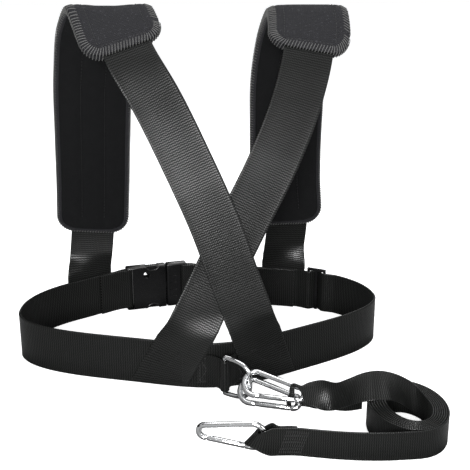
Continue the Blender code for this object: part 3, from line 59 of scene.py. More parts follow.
# Belt: two half ovals in plan, front and back, each drawn out at one place (x, depth, width of the hill)
BELT_WIDTH, BELT_THICK, BELT_HALF_SPAN = 0.050, 0.002, 0.200
BELT_DEPTHS, BELT_POWERS = (0.115, 0.086), (2.2, 1.9)
BACK_PULL, FRONT_PULL = (0.011, 0.022, 0.078), (-0.030, 0.010, 0.060)
BELT_STEP, BELT_SETTLE = 0.003, 0.0126

# Buckle and slider on the belt
BUCKLE_LEFT_X, SOCKET_LENGTH, PLUG_LENGTH = -0.083, 0.050, 0.026
BUCKLE_HEIGHT, BUCKLE_SILL, SILL_FADE = 0.056, 0.003, 0.060
BUCKLE_THICK, BUCKLE_WALL, BUCKLE_SIDE_WALL = 0.012, 0.0018, 0.0045
BUCKLE_BAR, BAR_FROM_END, BUCKLE_CLOSED_END = 0.0030, 0.0036, 0.0125
WINDOW_LENGTH, WINDOW_FROM_MOUTH = 0.017, 0.009
ARCH_BEYOND, ARCH_RADIUS, LIP_RADIUS, LIP_THICK, LIP_INSET = 0.0035, 0.0085, 0.0094, 0.0010, 0.0009
HOLE_FROM_WINDOW, HOLE_DROP, HOLE_RADIUS = 0.0015, 0.0020, 0.0042
CASE_ROUND, CASE_RIM, EDGE_ROUND, SLIDER_ROUND = 0.0022, 0.0006, 0.0003, 0.0011
GROOVE_FROM, GROOVE_TO, GROOVE_DEEP, GROOVE_HALF = 0.0035, 0.0125, 0.0005, 0.0012
RIB_FROM_TOE, RIB_SPACE, RIB_RADIUS, RIB_RISE = 0.0025, 0.0028, 0.0006, 0.0004
OVERCUT = 0.002
PRONG_ARM, PRONG_TOE_CLEAR, GUIDE_HEIGHT = 0.0042, 0.0013, 0.009
WEB_FOLD_BACK = 0.034
SLIDER_X, SLIDER_LENGTH, SLIDER_HEIGHT, SLIDER_THICK = 0.151, 0.024, 0.058, 0.003
SLIDER_BAR, SLIDER_EDGE, TAIL_END_X = 0.0036, 0.0033, 0.128

# Shoulder straps and their free courses, front to back
STRAP_WIDTH, STRAP_THICK, FOOT_Z = 0.050, 0.002, 0.004
FOOT_BLEND, FOOT_RISE, FOOT_EASE, STIFF_ROWS = 0.024, 0.006, 0.040, 9
CROSS_CLEAR, CROSS_LOW_Z, CROSS_HIGH_Z, CROSS_FADE = 0.0022, 0.055, 0.205, 0.030
FEET_X = {"left": (-0.124, 0.060), "right": (0.111, -0.050)}
COURSES = {
    "left": (
        (-0.1195, 0.0990, 0.112), (-0.1165, 0.0910, 0.160), (-0.1130, 0.0710, 0.232), (-0.1085, 0.0470, 0.302),
        (-0.1000, 0.0230, 0.352), (-0.0890, -0.0010, 0.371), (-0.0800, -0.0260, 0.354), (-0.0700, -0.0440, 0.330),
        (-0.0465, -0.0620, 0.288), (-0.0170, -0.0810, 0.225), (0.0060, -0.0930, 0.170), (0.0230, -0.1010, 0.120),
    ),
    "right": (
        (0.1160, 0.0980, 0.115), (0.1110, 0.0895, 0.163), (0.1060, 0.0690, 0.240), (0.1040, 0.0475, 0.302),
        (0.1090, 0.0230, 0.352), (0.1125, -0.0010, 0.371), (0.1110, -0.0260, 0.354), (0.1060, -0.0440, 0.330),
        (0.0925, -0.0620, 0.288), (0.0640, -0.0810, 0.225), (0.0340, -0.0930, 0.170), (0.0080, -0.1010, 0.120),
    ),
}

# Pads
PAD_WIDTH, PAD_LENGTH, PAD_CORNER, PAD_THICK, PAD_SKIN = 0.082, 0.345, 0.020, 0.009, 0.0018
PAD_EDGE_DROP, PAD_CHANNEL, CHANNEL_U, CHANNEL_SPREAD = 0.0022, 0.0012, 0.0128, 0.0042
PAD_LOWER_Z, COVER_LEVEL, COVER_DROP = 0.108, 0.029, 0.0038
COVER_SEAM_U, COVER_BAR_S, SEAM_WIDE, BAR_WIDE, SEAM_DEEP = CHANNEL_U + 0.0135, 0.0085, 0.0022, 0.0018, 0.0005
COVER_CROWN, PUCKER_HEIGHT, PUCKER_TURN, PUCKER_REACH = 0.0004, 0.00022, 900.0, 0.006
BINDING_WIDTH, BINDING_THICK = 0.005, 0.0058
BINDING_SECTION = ((1.0, 0.0), (0.93, 0.42), (0.70, 0.76), (0.3, 0.97), (-0.25, 1.02), (-0.86, 0.95), (-1.0, 0.72))
BODY_INSET, BODY_VOXEL = BINDING_WIDTH * 0.7, 0.004
SWELL_PRESSURE, SWELL_FRAMES, PIN_DEPTH, PIN_FADE = 4.0, 20, 0.006, 0.004
CHANNEL_START, CHANNEL_EASE, BODY_CLEAR, COVER_WALL = 0.004, 0.012, 0.0002, PAD_SKIN * 0.9
PAD_TOP = -(STRAP_THICK / 2.0 + SEWN_GAP)
PAD_MIDDLE = PAD_TOP - PAD_THICK / 2.0

# Ring tab, ring and hooks. The tab's neck: share of its height, share of the clear radius there
TAB_WIDTH, TAB_THICK, TAB_FOOT, TAB_ARCH = 0.033, 0.002, 0.020, 0.0185
TAB_NECK = ((0.10, 3.70), (0.38, 2.45), (0.68, 1.45))
RING_WIRE, RING_HEIGHT, RING_DEPTH, RING_POWER, RING_SWING = 0.0045, 0.044, 0.0300, 3.2, math.radians(-41.0)
HOOK_LENGTH, HOOK_WIDE, HOOK_NARROW, HOOK_WIRE = 0.066, 0.029, 0.018, 0.0055
NOSE_FROM_WIDE, HINGE_X, GATE_DIAMETER = 0.023, HOOK_LENGTH - 0.0145, 0.0052
BOW_WIDE, BOW_NARROW = (HOOK_WIDE - HOOK_WIRE) / 2.0, (HOOK_NARROW - HOOK_WIRE) / 2.0
TONGUE_THICK, SHOULDER_REACH, FORK_REACH = 0.0018, 0.0043, 0.0030
RIVET_DIAMETER, SPRING_DIAMETER, SPRING_WIRE, SPRING_LENGTH = 0.0016, 0.0026, 0.0005, 0.008
PAIR_HEADING, PAIR_TILT, PAIR_SEAT = math.radians(-22.0), math.radians(40.0), 0.0089
LOWER_HOOK_SHIFT, PAIR_LIFT = -0.0040, 0.0016
FREE_HEADING, FREE_SEAT, FREE_PITCH = math.radians(161.8), (0.0352, -0.2358), math.radians(7.0)

# Pull strap
PULL_WIDTH, PULL_THICK = 0.028, 0.0014
COIL_CENTRE, COIL_HALF_LENGTH, COIL_HALF_DEPTH = (0.1702, -0.2150), 0.0367, 0.0480
COIL_PITCHES, COIL_TURNS, COIL_LEAD, COIL_STEP = (0.0026, 0.00195, 0.0023), 7.27, 0.04, 1.0 / 28.0
LOWER_RUN = ((0.0720, -0.2474), (0.0900, -0.2530), (0.1120, -0.2585), (0.1340, -0.2620), (0.1520, -0.2632))
LOOP_SPREAD, LOOP_HEIGHT, LOOP_THICK, LOOP_FROM_END, LOOP_TAIL_X = 0.0058, 0.0125, 0.0022, 0.0105, 0.060
EYE_WIDTH, EYE_THICK, NECK_WIDTH, NECK_DEPTH = 0.007, 0.0020, 0.0017, 0.0045
EYE_FROM_WIDE, EYE_CLEAR = 0.0514, 0.0014

# Course of the upper run and of the tail behind the eye: place, then lean in degrees or width
UPPER_RUN = (
    (0.1909, -0.2048, 0.0155, 0.0), (0.1872, -0.1992, 0.0190, 3.0), (0.1815, -0.1956, 0.0240, 8.0),
    (0.1730, -0.1955, 0.0300, 16.0), (0.1630, -0.1985, 0.0365, 28.0), (0.1520, -0.2020, 0.0410, 38.0),
    (0.1400, -0.2030, 0.0420, 42.0), (0.1280, -0.1990, 0.0380, 36.0), (0.1180, -0.1925, 0.0305, 24.0),
    (0.1080, -0.1835, 0.0225, 12.0),
)
EYE_TAIL = (
    (0.0985, -0.1655, 0.0110, 0.021), (0.1110, -0.1700, 0.0138, 0.026), (0.1230, -0.1740, 0.0145, 0.0275),
    (0.1400, -0.1725, 0.0143, 0.027),
)
UP = np.array([0.0, 0.0, 1.0])

# Webbing: share across a strip and share of its thickness there, with rounded, slightly full selvedges
WEB_PROFILE = (
    (-1.0, 0.30), (-0.992, 0.72), (-0.975, 0.98), (-0.945, 1.10), (-0.90, 1.04), (-0.84, 0.94), (-0.60, 0.96),
    (-0.30, 0.98), (0.0, 1.0), (0.30, 0.98), (0.60, 0.96), (0.84, 0.94), (0.90, 1.04), (0.945, 1.10), (0.975, 0.98),
    (0.992, 0.72), (1.0, 0.30),
)
WEB_SHARES, WEB_FULLNESS = np.array(WEB_PROFILE).T

# One stitch: share of its length and height over the face it is sewn on
WEB_STITCH = ((0.12, -0.0002), (0.3, 0.00022), (0.5, 0.00028), (0.7, 0.00022), (0.88, -0.0002))
PAD_STITCH = ((0.14, -0.0003), (0.32, 0.00018), (0.5, 0.00026), (0.68, 0.00018), (0.86, -0.0003))
END_STITCH = ((0.10, -0.0002), (0.3, 0.00025), (0.5, 0.0003), (0.7, 0.00025), (0.90, -0.0002))
THREAD, EDGE_THREAD, END_THREAD = 0.00034, 0.00042, 0.00032
WEB_PITCH, PAD_PITCH, WHIP_PITCH, WHIP_SLANT = 0.0034, 0.0038, 0.0031, 0.0042

# Where seams run: distances from pad ends, and boxes as places along the belt, lowest and highest stitch
SEAM_FROM_END, CHANNEL_FROM_END, BAR_HALF = 0.010, 0.020, 0.024
TAB_SEAM_BEYOND, TAB_SEAM_INNER, TAB_SEAM_HALF = 0.003, 0.0085, 0.013
FRONT_BOX, BACK_BOX, BACK_BOX_LEAN = ((-0.020, 0.020), 0.008, 0.042), ((-0.017, 0.017), 0.009, 0.040), 0.006
END_ROWS, END_PER_ROW, END_FIRST, END_SPACE, END_SLANT = 11, 7, 0.0010, 0.0019, 0.0075
END_LOW, END_RISE = 0.0025, 0.0230

# One whip stitch: share of its slant, reach out from the edge, height over the cover or from the pad's middle
WHIP_OVER = ((0.0, -0.0072, -0.0003), (0.1, -0.0060, 0.0004), (0.35, -0.0030, 0.0004), (0.6, 0.0003, -0.0002))
WHIP_ROUND = ((0.75, 0.0007, 0.0022), (0.9, 0.0004, -0.0018), (1.0, -0.0022, -BINDING_THICK * 0.56))

# Camera as fitted to the photograph, and lamps: place, aim, size and share of the key lamp's power
CAMERA_LIFT, CAMERA_TURN, CAMERA_AWAY = math.radians(18.0), math.radians(-7.65), 0.953
CAMERA_AIM_RIGHT, CAMERA_AIM_Z = 0.038, 0.130
LAMPS = (
    ("lamp_key", (-0.35, -1.65, 0.66), (0.0, 0.0, 0.2), 0.55, 1.0),
    ("lamp_fill", (1.25, -0.85, 0.75), (0.0, 0.0, 0.12), 0.8, 0.12),
    ("lamp_top", (0.05, 0.15, 1.5), (0.0, 0.0, 0.1), 1.0, 0.22),
    ("lamp_back", (0.35, 1.35, 0.9), (0.0, 0.0, 0.2), 0.9, 0.12),
)

# Brightness of the room in reflections, over its height and tilt
ROOM_BANDS = (
    (0.0, 0.01), (0.34, 0.01), (0.42, 0.5), (0.58, 0.6), (0.64, 0.03), (0.72, 0.03), (0.78, 0.6), (1.0, 0.5),
)
ROOM_TILT, ROOM_RISE, ROOM_FILL = -0.45, 0.8, 0.40


# Routes


def unit(vector):
    """The vector at length one."""
    vector = np.asarray(vector, float)
    return vector / np.linalg.norm(vector)


def unit_rows(rows):
    """Each row at length one."""
    return rows / np.linalg.norm(rows, axis=1)[:, None]


def flat(vector):
    """The vector without its height."""
    return np.array([vector[0], vector[1], 0.0])


def hill(x, wide):
    """A smooth hill of height one about zero."""
    return np.exp(-((x / wide) ** 2))


def smooth_step(share):
    """A share from zero to one, eased at both ends."""
    return share * share * (3.0 - 2.0 * share)


def rise_along(route):
    """Distance from the start of a route to each of its points."""
    return np.concatenate([[0.0], np.cumsum(np.linalg.norm(np.diff(route, axis=0), axis=1))])


def pick(values, at, where):
    """Rows of a table read at places along it."""
    return np.column_stack([np.interp(where, at, values[:, k]) for k in range(values.shape[1])])


def resample(route, count):
    """The route with its points spaced evenly."""
    at = rise_along(route[:, :3])
    return pick(route, at, np.linspace(0.0, at[-1], count))


def curve_through(rows, fine_at):
    """A smooth table through given rows, read at places along its first three values."""
    at = rise_along(rows[:, :3])
    slopes = np.gradient(rows, at, axis=0)
    k = np.clip(np.searchsorted(at, fine_at) - 1, 0, len(rows) - 2)
    span = (at[k + 1] - at[k])[:, None]
    t = ((fine_at - at[k])[:, None]) / span
    start = (1 + 2 * t) * (1 - t) ** 2 * rows[k] + t * (1 - t) ** 2 * span * slopes[k]
    end = t * t * (3 - 2 * t) * rows[k + 1] + t * t * (t - 1) * span * slopes[k + 1]
    return start + end


def smooth_route(points, count):
    """Evenly spaced points on a smooth curve through the given ones."""
    knots = np.asarray(points, float)
    length = rise_along(knots[:, :3])[-1]
    return resample(curve_through(knots, np.linspace(0.0, length, 12 * len(knots))), count)


def directions(route):
    """Unit direction of travel at each point of a route."""
    return unit_rows(np.gradient(route, axis=0))


def make_outline():
    """Middle line of the belt from the front centre, over the wearer's left, round the back, to the front."""
    turn = np.linspace(0.0, 2.0 * math.pi, 1441)
    side, ahead = -np.sin(turn), np.cos(turn)
    front = ahead >= 0
    power = np.where(front, *BELT_POWERS)
    x = BELT_HALF_SPAN * np.sign(side) * np.abs(side) ** (2.0 / power)
    y = np.where(front, *BELT_DEPTHS) * np.sign(ahead) * np.abs(ahead) ** (2.0 / power)
    back_pull, front_pull = (deep * hill(x - middle, wide) for middle, deep, wide in (BACK_PULL, FRONT_PULL))
    y = y + np.where(front, front_pull, -back_pull)
    return resample(np.column_stack([x, y, np.zeros_like(x)]), 1441)


OUTLINE = make_outline()
OUTLINE_AT = rise_along(OUTLINE)
OUTLINE_WAY = directions(OUTLINE)
BAR_FOLD = BUCKLE_BAR * math.sqrt(2.0) / 2.0 + GAP + BELT_THICK / 2.0


def outline_place(x, front):
    """Distance along the belt's middle line at which it passes x, in front or behind."""
    where = OUTLINE[:, 1] > 0 if front else OUTLINE[:, 1] < 0
    return OUTLINE_AT[int(np.argmin(np.where(where, np.abs(OUTLINE[:, 0] - x), 9.0)))]


def outline_point(at, out=0.0, z=0.0):
    """Point beside the belt's middle line, out to its outer side."""
    place, way = pick(OUTLINE, OUTLINE_AT, at)[0], pick(OUTLINE_WAY, OUTLINE_AT, at)[0]
    return place + out * unit((way[1], -way[0], 0.0)) + z * UP


DATUM = outline_point(outline_place(BACK_PULL[0], False))


# Mesh helpers


def deselect():
    """Leaves every object unselected, in object mode."""
    if bpy.context.mode != "OBJECT":
        bpy.ops.object.mode_set(mode="OBJECT")
    bpy.ops.object.select_all(action="DESELECT")


def focus(piece):
    """Makes one piece the only selected and active object."""
    deselect()
    piece.select_set(True)
    bpy.context.view_layer.objects.active = piece


def apply_modifiers(piece):
    """Applies every modifier of a piece in order."""
    focus(piece)
    for name in [step.name for step in piece.modifiers]:
        bpy.ops.object.modifier_apply(modifier=name)


def finish_mesh(piece, angle=40.0):
    """Shades a piece smooth, with its sharp edges kept."""
    piece.data.shade_smooth()
    piece.data.set_sharp_from_angle(angle=math.radians(angle))
    return piece


def mesh_piece(name, verts, faces, uvs=None):
    """An object from corners on the belt's plan, with a place on the cloth for each corner if given."""
    mesh = bpy.data.meshes.new(name)
    mesh.from_pydata([tuple(v) for v in np.asarray(verts, float) - DATUM], [], faces)
    if uvs is not None:
        layer = mesh.uv_layers.new(name="cloth")
        corners = np.empty(len(mesh.loops), dtype=int)
        mesh.loops.foreach_get("vertex_index", corners)
        layer.data.foreach_set("uv", np.asarray(uvs, np.float32)[corners].ravel())
    piece = bpy.data.objects.new(name, mesh)
    bpy.context.collection.objects.link(piece)
    return finish_mesh(piece)


def outward(piece):
    """Merges doubles and turns the faces of a closed piece outwards."""
    work = bmesh.new()
    work.from_mesh(piece.data)
    bmesh.ops.remove_doubles(work, verts=work.verts, dist=1e-6)
    bmesh.ops.recalc_face_normals(work, faces=work.faces)
    work.to_mesh(piece.data)
    work.free()
    return piece


def ring_faces(count, sides, closed=False):
    """Faces of a body lofted through rings of equal count."""
    faces = []
    for i in range(count if closed else count - 1):
        here, next_ring = i * sides, (i + 1) % count * sides
        for j in range(sides):
            k = (j + 1) % sides
            faces.append((here + j, here + k, next_ring + k, next_ring + j))
    if not closed:
        faces.append(tuple(range(sides))[::-1])
        faces.append(tuple((count - 1) * sides + j for j in range(sides)))
    return faces


def web_piece(name, grid, face, thickness, widths):
    """Webbing about a grid of middle points, its columns at the web profile's shares; face holds its normals."""
    rows, cols = grid.shape[:2]
    thickness = np.broadcast_to(thickness, rows)
    half = face * (thickness[:, None] * WEB_FULLNESS[None, :] / 2.0)[:, :, None]
    rings = np.concatenate([grid + half, (grid - half)[:, ::-1]], axis=1)
    along = rise_along(grid[:, cols // 2])
    across = np.broadcast_to(widths, rows)[:, None] / 2.0 * np.concatenate([WEB_SHARES, WEB_SHARES[::-1]])[None, :]
    uvs = np.stack([across, np.broadcast_to(along[:, None], across.shape)], axis=2)
    piece = mesh_piece(name, rings.reshape(-1, 3), ring_faces(rows, 2 * cols), uvs.reshape(-1, 2))
    return outward(piece)


def upright_web(name, plan, width, thickness, base=0.0):
    """Webbing standing on edge along a plan route."""
    ways = directions(plan)
    across = np.column_stack([-ways[:, 1], ways[:, 0], np.zeros(len(plan))])
    width = np.broadcast_to(width, len(plan))
    middle = plan.copy()
    middle[:, 2] = base + width / 2.0
    grid = middle[:, None, :] + UP[None, None, :] * (width[:, None] * WEB_SHARES[None, :] / 2.0)[:, :, None]
    face = np.repeat(across[:, None, :], len(WEB_SHARES), axis=1)
    return web_piece(name, grid, face, thickness, width)


def threads(name, paths, radius, sides=5):
    """Many short runs of thread in one piece, each closed at both ends."""
    verts, faces, uvs = [], [], []
    angles = np.arange(sides) * 2.0 * math.pi / sides
    for path in paths:
        path = np.asarray(path, float)
        ways = directions(path)
        side = unit(np.cross(ways[len(ways) // 2], (0.31, 0.53, 0.79)))
        base = len(verts)
        at = rise_along(path)
        for k, (point, way) in enumerate(zip(path, ways)):
            first = unit(side - way * np.dot(side, way))
            other = np.cross(way, first)
            size = radius * (0.55 if k in (0, len(path) - 1) else 1.0)
            verts += [point + size * (math.cos(a) * first + math.sin(a) * other) for a in angles]
            uvs += [(at[k], a / sides) for a in range(sides)]
        faces += [tuple(base + i for i in f) for f in ring_faces(len(path), sides)]
    return outward(mesh_piece(name, verts, faces, uvs))


def placement(at, *axes):
    """Matrix that turns a piece's own axes to given directions and sets it at a place."""
    return Matrix.Translation(tuple(at)) @ Matrix(np.column_stack(axes).tolist()).to_4x4()


def finish_piece(piece, material, body, slot, *nodes):
    """Gives a piece its material and its body, and hides the nodes that it stands for; the finish slot is not used.
    """
    piece.data.materials.clear()
    piece.data.materials.append(material)
    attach(piece, body)
    if nodes:
        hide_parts(*nodes)
    return piece


# Materials


def grey(level):
    """A neutral colour."""
    return (level, level, level, 1.0)


def shade(colour, share):
    """A colour at a share of its brightness."""
    return (*(min(1.0, c * share) for c in colour), 1.0)


def feed(tree, value, socket):
    """Gives a socket its value: a link from another socket, or the value itself."""
    if isinstance(value, bpy.types.NodeSocket):
        tree.links.new(value, socket)
    else:
        socket.default_value = value


def node_value(tree, kind, operation, *values):
    """A math or vector math node fed by sockets or numbers."""
    node = tree.nodes.new(kind)
    node.operation = operation
    for socket, value in zip(node.inputs, values):
        feed(tree, value, socket)
    return node.outputs[0]


def calc(tree, operation, *values):
    """A math node."""
    return node_value(tree, "ShaderNodeMath", operation, *values)


def noise(tree, vector, scale, detail=3.0):
    """Noise value at a scale."""
    node = tree.nodes.new("ShaderNodeTexNoise")
    node.inputs["Scale"].default_value = scale
    node.inputs["Detail"].default_value = detail
    tree.links.new(vector, node.inputs["Vector"])
    return node.outputs["Fac"]


def blend_colours(tree, share, first, second):
    """Colour between two, by a share."""
    node = tree.nodes.new("ShaderNodeMix")
    node.data_type = "RGBA"
    for label, value in (("Factor", share), ("A", first), ("B", second)):
        feed(tree, value, node.inputs[label])
    return node.outputs["Result"]


def effect_group(name, inputs, outputs):
    """An empty node group with named sockets."""
    tree = bpy.data.node_groups.new(name, "ShaderNodeTree")
    for label, kind, value in inputs:
        socket = tree.interface.new_socket(name=label, in_out="INPUT", socket_type=kind)
        if value is not None:
            socket.default_value = value
    for label, kind in outputs:
        tree.interface.new_socket(name=label, in_out="OUTPUT", socket_type=kind)
    return tree, tree.nodes.new("NodeGroupInput"), tree.nodes.new("NodeGroupOutput")


def weave_group():
    """Ribbed weave: weft ribs across the web, each column of warp yarn set a little from the next. Its Shade output
    is painted shade: the rib height darkens the hollows between ribs, with random fibre tone added.
    """
    tree, given, out = effect_group(
        "ribbed_weave",
        [("Place", "NodeSocketVector", None), ("Rib pitch", "NodeSocketFloat", 0.002),
         ("Yarn pitch", "NodeSocketFloat", 0.0016), ("Half width", "NodeSocketFloat", 0.025)],
        [("Height", "NodeSocketFloat"), ("Shade", "NodeSocketFloat"), ("Edge", "NodeSocketFloat")])
    split = tree.nodes.new("ShaderNodeSeparateXYZ")
    tree.links.new(given.outputs["Place"], split.inputs[0])
    column = calc(tree, "DIVIDE", split.outputs[0], given.outputs["Yarn pitch"])
    shifted = calc(tree, "MULTIPLY", calc(tree, "PINGPONG", calc(tree, "FLOOR", column), 1.0), 0.16)
    row = calc(tree, "ADD", calc(tree, "DIVIDE", split.outputs[1], given.outputs["Rib pitch"]), shifted)
    rib, yarn = (calc(tree, "ABSOLUTE", calc(tree, "SINE", calc(tree, "MULTIPLY", turns, math.pi)))
                 for turns in (row, column))
    rib = calc(tree, "POWER", rib, 0.7)
    yarn = calc(tree, "MULTIPLY_ADD", calc(tree, "POWER", yarn, 0.6), 0.45, 0.55)
    height = calc(tree, "MULTIPLY", rib, yarn)
    tree.links.new(height, out.inputs["Height"])
    fibre = noise(tree, given.outputs["Place"], 900.0, 2.0)
    # Painted shade: the hollows between ribs come out darker, plus random fibre tone
    rib_shade_and_fibre_tone = calc(tree, "MULTIPLY_ADD", fibre, 0.3, calc(tree, "MULTIPLY", height, 0.75))
    tree.links.new(rib_shade_and_fibre_tone, out.inputs["Shade"])
    share = calc(tree, "DIVIDE", calc(tree, "ABSOLUTE", split.outputs[0]), given.outputs["Half width"])
    edge = calc(tree, "SMOOTH_MAX", calc(tree, "MULTIPLY_ADD", share, 9.0, -8.0), 0.0, 0.1)
    tree.links.new(edge, out.inputs["Edge"])
    return tree


def grain_group():
    """Moulded grain and scuffs: fine pits, broad colour drift and light scratches."""
    tree, given, out = effect_group(
        "moulded_grain",
        [("Place", "NodeSocketVector", None), ("Grain scale", "NodeSocketFloat", 1500.0)],
        [("Height", "NodeSocketFloat"), ("Drift", "NodeSocketFloat"), ("Scuff", "NodeSocketFloat")])
    fine = tree.nodes.new("ShaderNodeTexNoise")
    fine.inputs["Detail"].default_value = 4.0
    tree.links.new(given.outputs["Place"], fine.inputs["Vector"])
    tree.links.new(given.outputs["Grain scale"], fine.inputs["Scale"])
    tree.links.new(fine.outputs["Fac"], out.inputs["Height"])
    tree.links.new(noise(tree, given.outputs["Place"], 60.0), out.inputs["Drift"])
    stretched = node_value(tree, "ShaderNodeVectorMath", "MULTIPLY", given.outputs["Place"], (1.0, 0.12, 0.35))
    scratch = noise(tree, stretched, 1100.0, 1.0)
    tree.links.new(calc(tree, "GREATER_THAN", scratch, 0.66), out.inputs["Scuff"])
    return tree


def effect(tree, group, values):
    """A node group placed in a material with its values set."""
    node = tree.nodes.new("ShaderNodeGroup")
    node.node_tree = group
    for label, value in values.items():
        feed(tree, value, node.inputs[label])
    return node


def new_material(name, **values):
    """A material whose shader has its uniform values set on its own sockets."""
    made = bpy.data.materials.new(name)
    made.use_nodes = True
    shader = made.node_tree.nodes["Principled BSDF"]
    for label, value in values.items():
        shader.inputs[label.replace("_", " ").title().replace("Ior", "IOR")].default_value = value
    return made, made.node_tree, shader


def add_bump(tree, shader, height, distance):
    """Feeds a height to the shader's normal."""
    node = tree.nodes.new("ShaderNodeBump")
    node.inputs["Strength"].default_value = 1.0
    node.inputs["Distance"].default_value = distance
    tree.links.new(height, node.inputs["Height"])
    tree.links.new(node.outputs["Normal"], shader.inputs["Normal"])


def cloth_place(tree):
    """Place on the cloth, across and along, in metres."""
    node = tree.nodes.new("ShaderNodeUVMap")
    node.uv_map = "cloth"
    return node.outputs[0]


def object_place(tree):
    """Place on the object."""
    return tree.nodes.new("ShaderNodeTexCoord").outputs["Object"]


def web_material(name, group, half_width, settings, rib_share=1.0):
    """Black ribbed webbing with a soft sheen, painted shade in the hollows between its ribs, painted light on the rib
    tops and paler worn selvedges.
    """
    made, tree, shader = new_material(name, roughness=0.4, sheen_weight=0.02, sheen_roughness=0.35,
                                      sheen_tint=(0.85, 0.87, 0.84, 1.0))
    place = cloth_place(tree)
    weave = effect(tree, group, {
        "Place": place, "Rib pitch": settings.rib_pitch * rib_share, "Yarn pitch": settings.yarn_pitch * rib_share,
        "Half width": half_width})
    # deep is the painted shade of the rib hollows and lit the painted light of the rib tops; lit also tints random
    # streaks
    deep, lit, worn = (shade(settings.colour, share) for share in (0.1, 3.6, 4.5))
    base = blend_colours(tree, weave.outputs["Shade"], deep, lit)
    streaks = node_value(tree, "ShaderNodeVectorMath", "MULTIPLY", place, (0.25, 1.0, 0.0))
    base = blend_colours(tree, calc(tree, "MULTIPLY", noise(tree, streaks, 260.0), 0.7), base, lit)
    cloud = noise(tree, object_place(tree), 22.0)
    drift = calc(tree, "MULTIPLY", calc(tree, "SUBTRACT", cloud, 0.42), 0.7)
    base = blend_colours(tree, calc(tree, "MAXIMUM", drift, 0.0), base, worn)
    base = blend_colours(tree, calc(tree, "MULTIPLY", weave.outputs["Edge"], 0.35), base, worn)
    tree.links.new(base, shader.inputs["Base Color"])
    tree.links.new(calc(tree, "MULTIPLY_ADD", weave.outputs["Shade"], -0.2, 0.46), shader.inputs["Roughness"])
    gloss = calc(tree, "MULTIPLY", calc(tree, "POWER", weave.outputs["Height"], 1.5), 0.44)
    tree.links.new(gloss, shader.inputs["Specular IOR Level"])
    add_bump(tree, shader, weave.outputs["Height"], 0.00016)
    return made


def pad_material(name, group, colour, rib_pitch, depth, glint_share):
    """Pad cloth: a fine weave or nap with painted shade between its yarns and lighter specks painted where the yarn
    would catch the light.
    """
    made, tree, shader = new_material(name, roughness=0.85, sheen_weight=0.03, sheen_roughness=0.5,
                                      specular_ior_level=0.12, sheen_tint=(0.8, 0.8, 0.86, 1.0))
    place = cloth_place(tree)
    weave = effect(tree, group, {
        "Place": place, "Rib pitch": rib_pitch, "Yarn pitch": rib_pitch, "Half width": 0.5})
    # Painted shade: the weave height darkens the cloth between its yarns
    base = blend_colours(tree, weave.outputs["Shade"], shade(colour, 0.6), shade(colour, 1.9))
    # Painted glints: light specks where the yarn would catch the light
    cell = tree.nodes.new("ShaderNodeTexVoronoi")
    cell.inputs["Scale"].default_value = 420.0
    tree.links.new(place, cell.inputs["Vector"])
    glint_spot = calc(tree, "LESS_THAN", cell.outputs["Distance"], 0.24)
    chance = calc(tree, "GREATER_THAN", noise(tree, place, 260.0, 0.0), 0.52)
    glint_spot = calc(tree, "MULTIPLY", calc(tree, "MULTIPLY", glint_spot, chance), glint_share)
    base = blend_colours(tree, glint_spot, base, shade(colour, 8.0))
    tree.links.new(base, shader.inputs["Base Color"])
    rough = calc(tree, "MULTIPLY_ADD", noise(tree, place, 90.0), 0.25, 0.66)
    tree.links.new(rough, shader.inputs["Roughness"])
    height = calc(tree, "ADD", weave.outputs["Height"], calc(tree, "MULTIPLY", noise(tree, place, 700.0), 0.8))
    add_bump(tree, shader, height, depth)
    return made


def thread_material(name, colour):
    """Twisted sewing thread, darker between its plies as painted shade."""
    made, tree, shader = new_material(name, roughness=0.6, sheen_weight=0.05, sheen_roughness=0.4,
                                      specular_ior_level=0.15)
    split = tree.nodes.new("ShaderNodeSeparateXYZ")
    tree.links.new(cloth_place(tree), split.inputs[0])
    round_thread = calc(tree, "MULTIPLY", split.outputs[1], 2.0 * math.pi)
    turn = calc(tree, "MULTIPLY_ADD", split.outputs[0], 9000.0, round_thread)
    ply = calc(tree, "ABSOLUTE", calc(tree, "SINE", turn))
    # Painted shade: the colour darkens in the grooves between the plies
    base = blend_colours(tree, ply, shade(colour, 0.45), shade(colour, 1.0))
    tree.links.new(base, shader.inputs["Base Color"])
    add_bump(tree, shader, ply, 0.0001)
    return made


def metal_material(name, group, colour, roughness):
    """Bright plating with faint drift, fine scratches and dulled spots."""
    made, tree, shader = new_material(name, metallic=1.0, roughness=roughness)
    grain = effect(tree, group, {"Place": object_place(tree), "Grain scale": 2400.0})
    base = blend_colours(tree, grain.outputs["Drift"], shade(colour, 0.93), shade(colour, 1.0))
    base = blend_colours(tree, calc(tree, "MULTIPLY", grain.outputs["Scuff"], 0.25), base, shade(colour, 0.6))
    tree.links.new(base, shader.inputs["Base Color"])
    rough = calc(tree, "MULTIPLY_ADD", grain.outputs["Scuff"], 0.14, roughness)
    tree.links.new(calc(tree, "MULTIPLY_ADD", grain.outputs["Drift"], 0.05, rough), shader.inputs["Roughness"])
    add_bump(tree, shader, grain.outputs["Height"], 0.00002)
    return made


def plastic_material(name, group, colour):
    """Moulded black plastic with a fine grain and scuffed, slightly shinier high spots."""
    made, tree, shader = new_material(name, roughness=0.3, specular_ior_level=0.45)
    grain = effect(tree, group, {"Place": object_place(tree), "Grain scale": 1500.0})
    base = blend_colours(tree, grain.outputs["Drift"], shade(colour, 0.7), shade(colour, 1.5))
    base = blend_colours(tree, calc(tree, "MULTIPLY", grain.outputs["Scuff"], 0.3), base, shade(colour, 3.0))
    tree.links.new(base, shader.inputs["Base Color"])
    tree.links.new(calc(tree, "MULTIPLY_ADD", grain.outputs["Height"], 0.16, 0.17), shader.inputs["Roughness"])
    add_bump(tree, shader, grain.outputs["Height"], 0.00006)
    return made


# Sizes and colours that a user would change


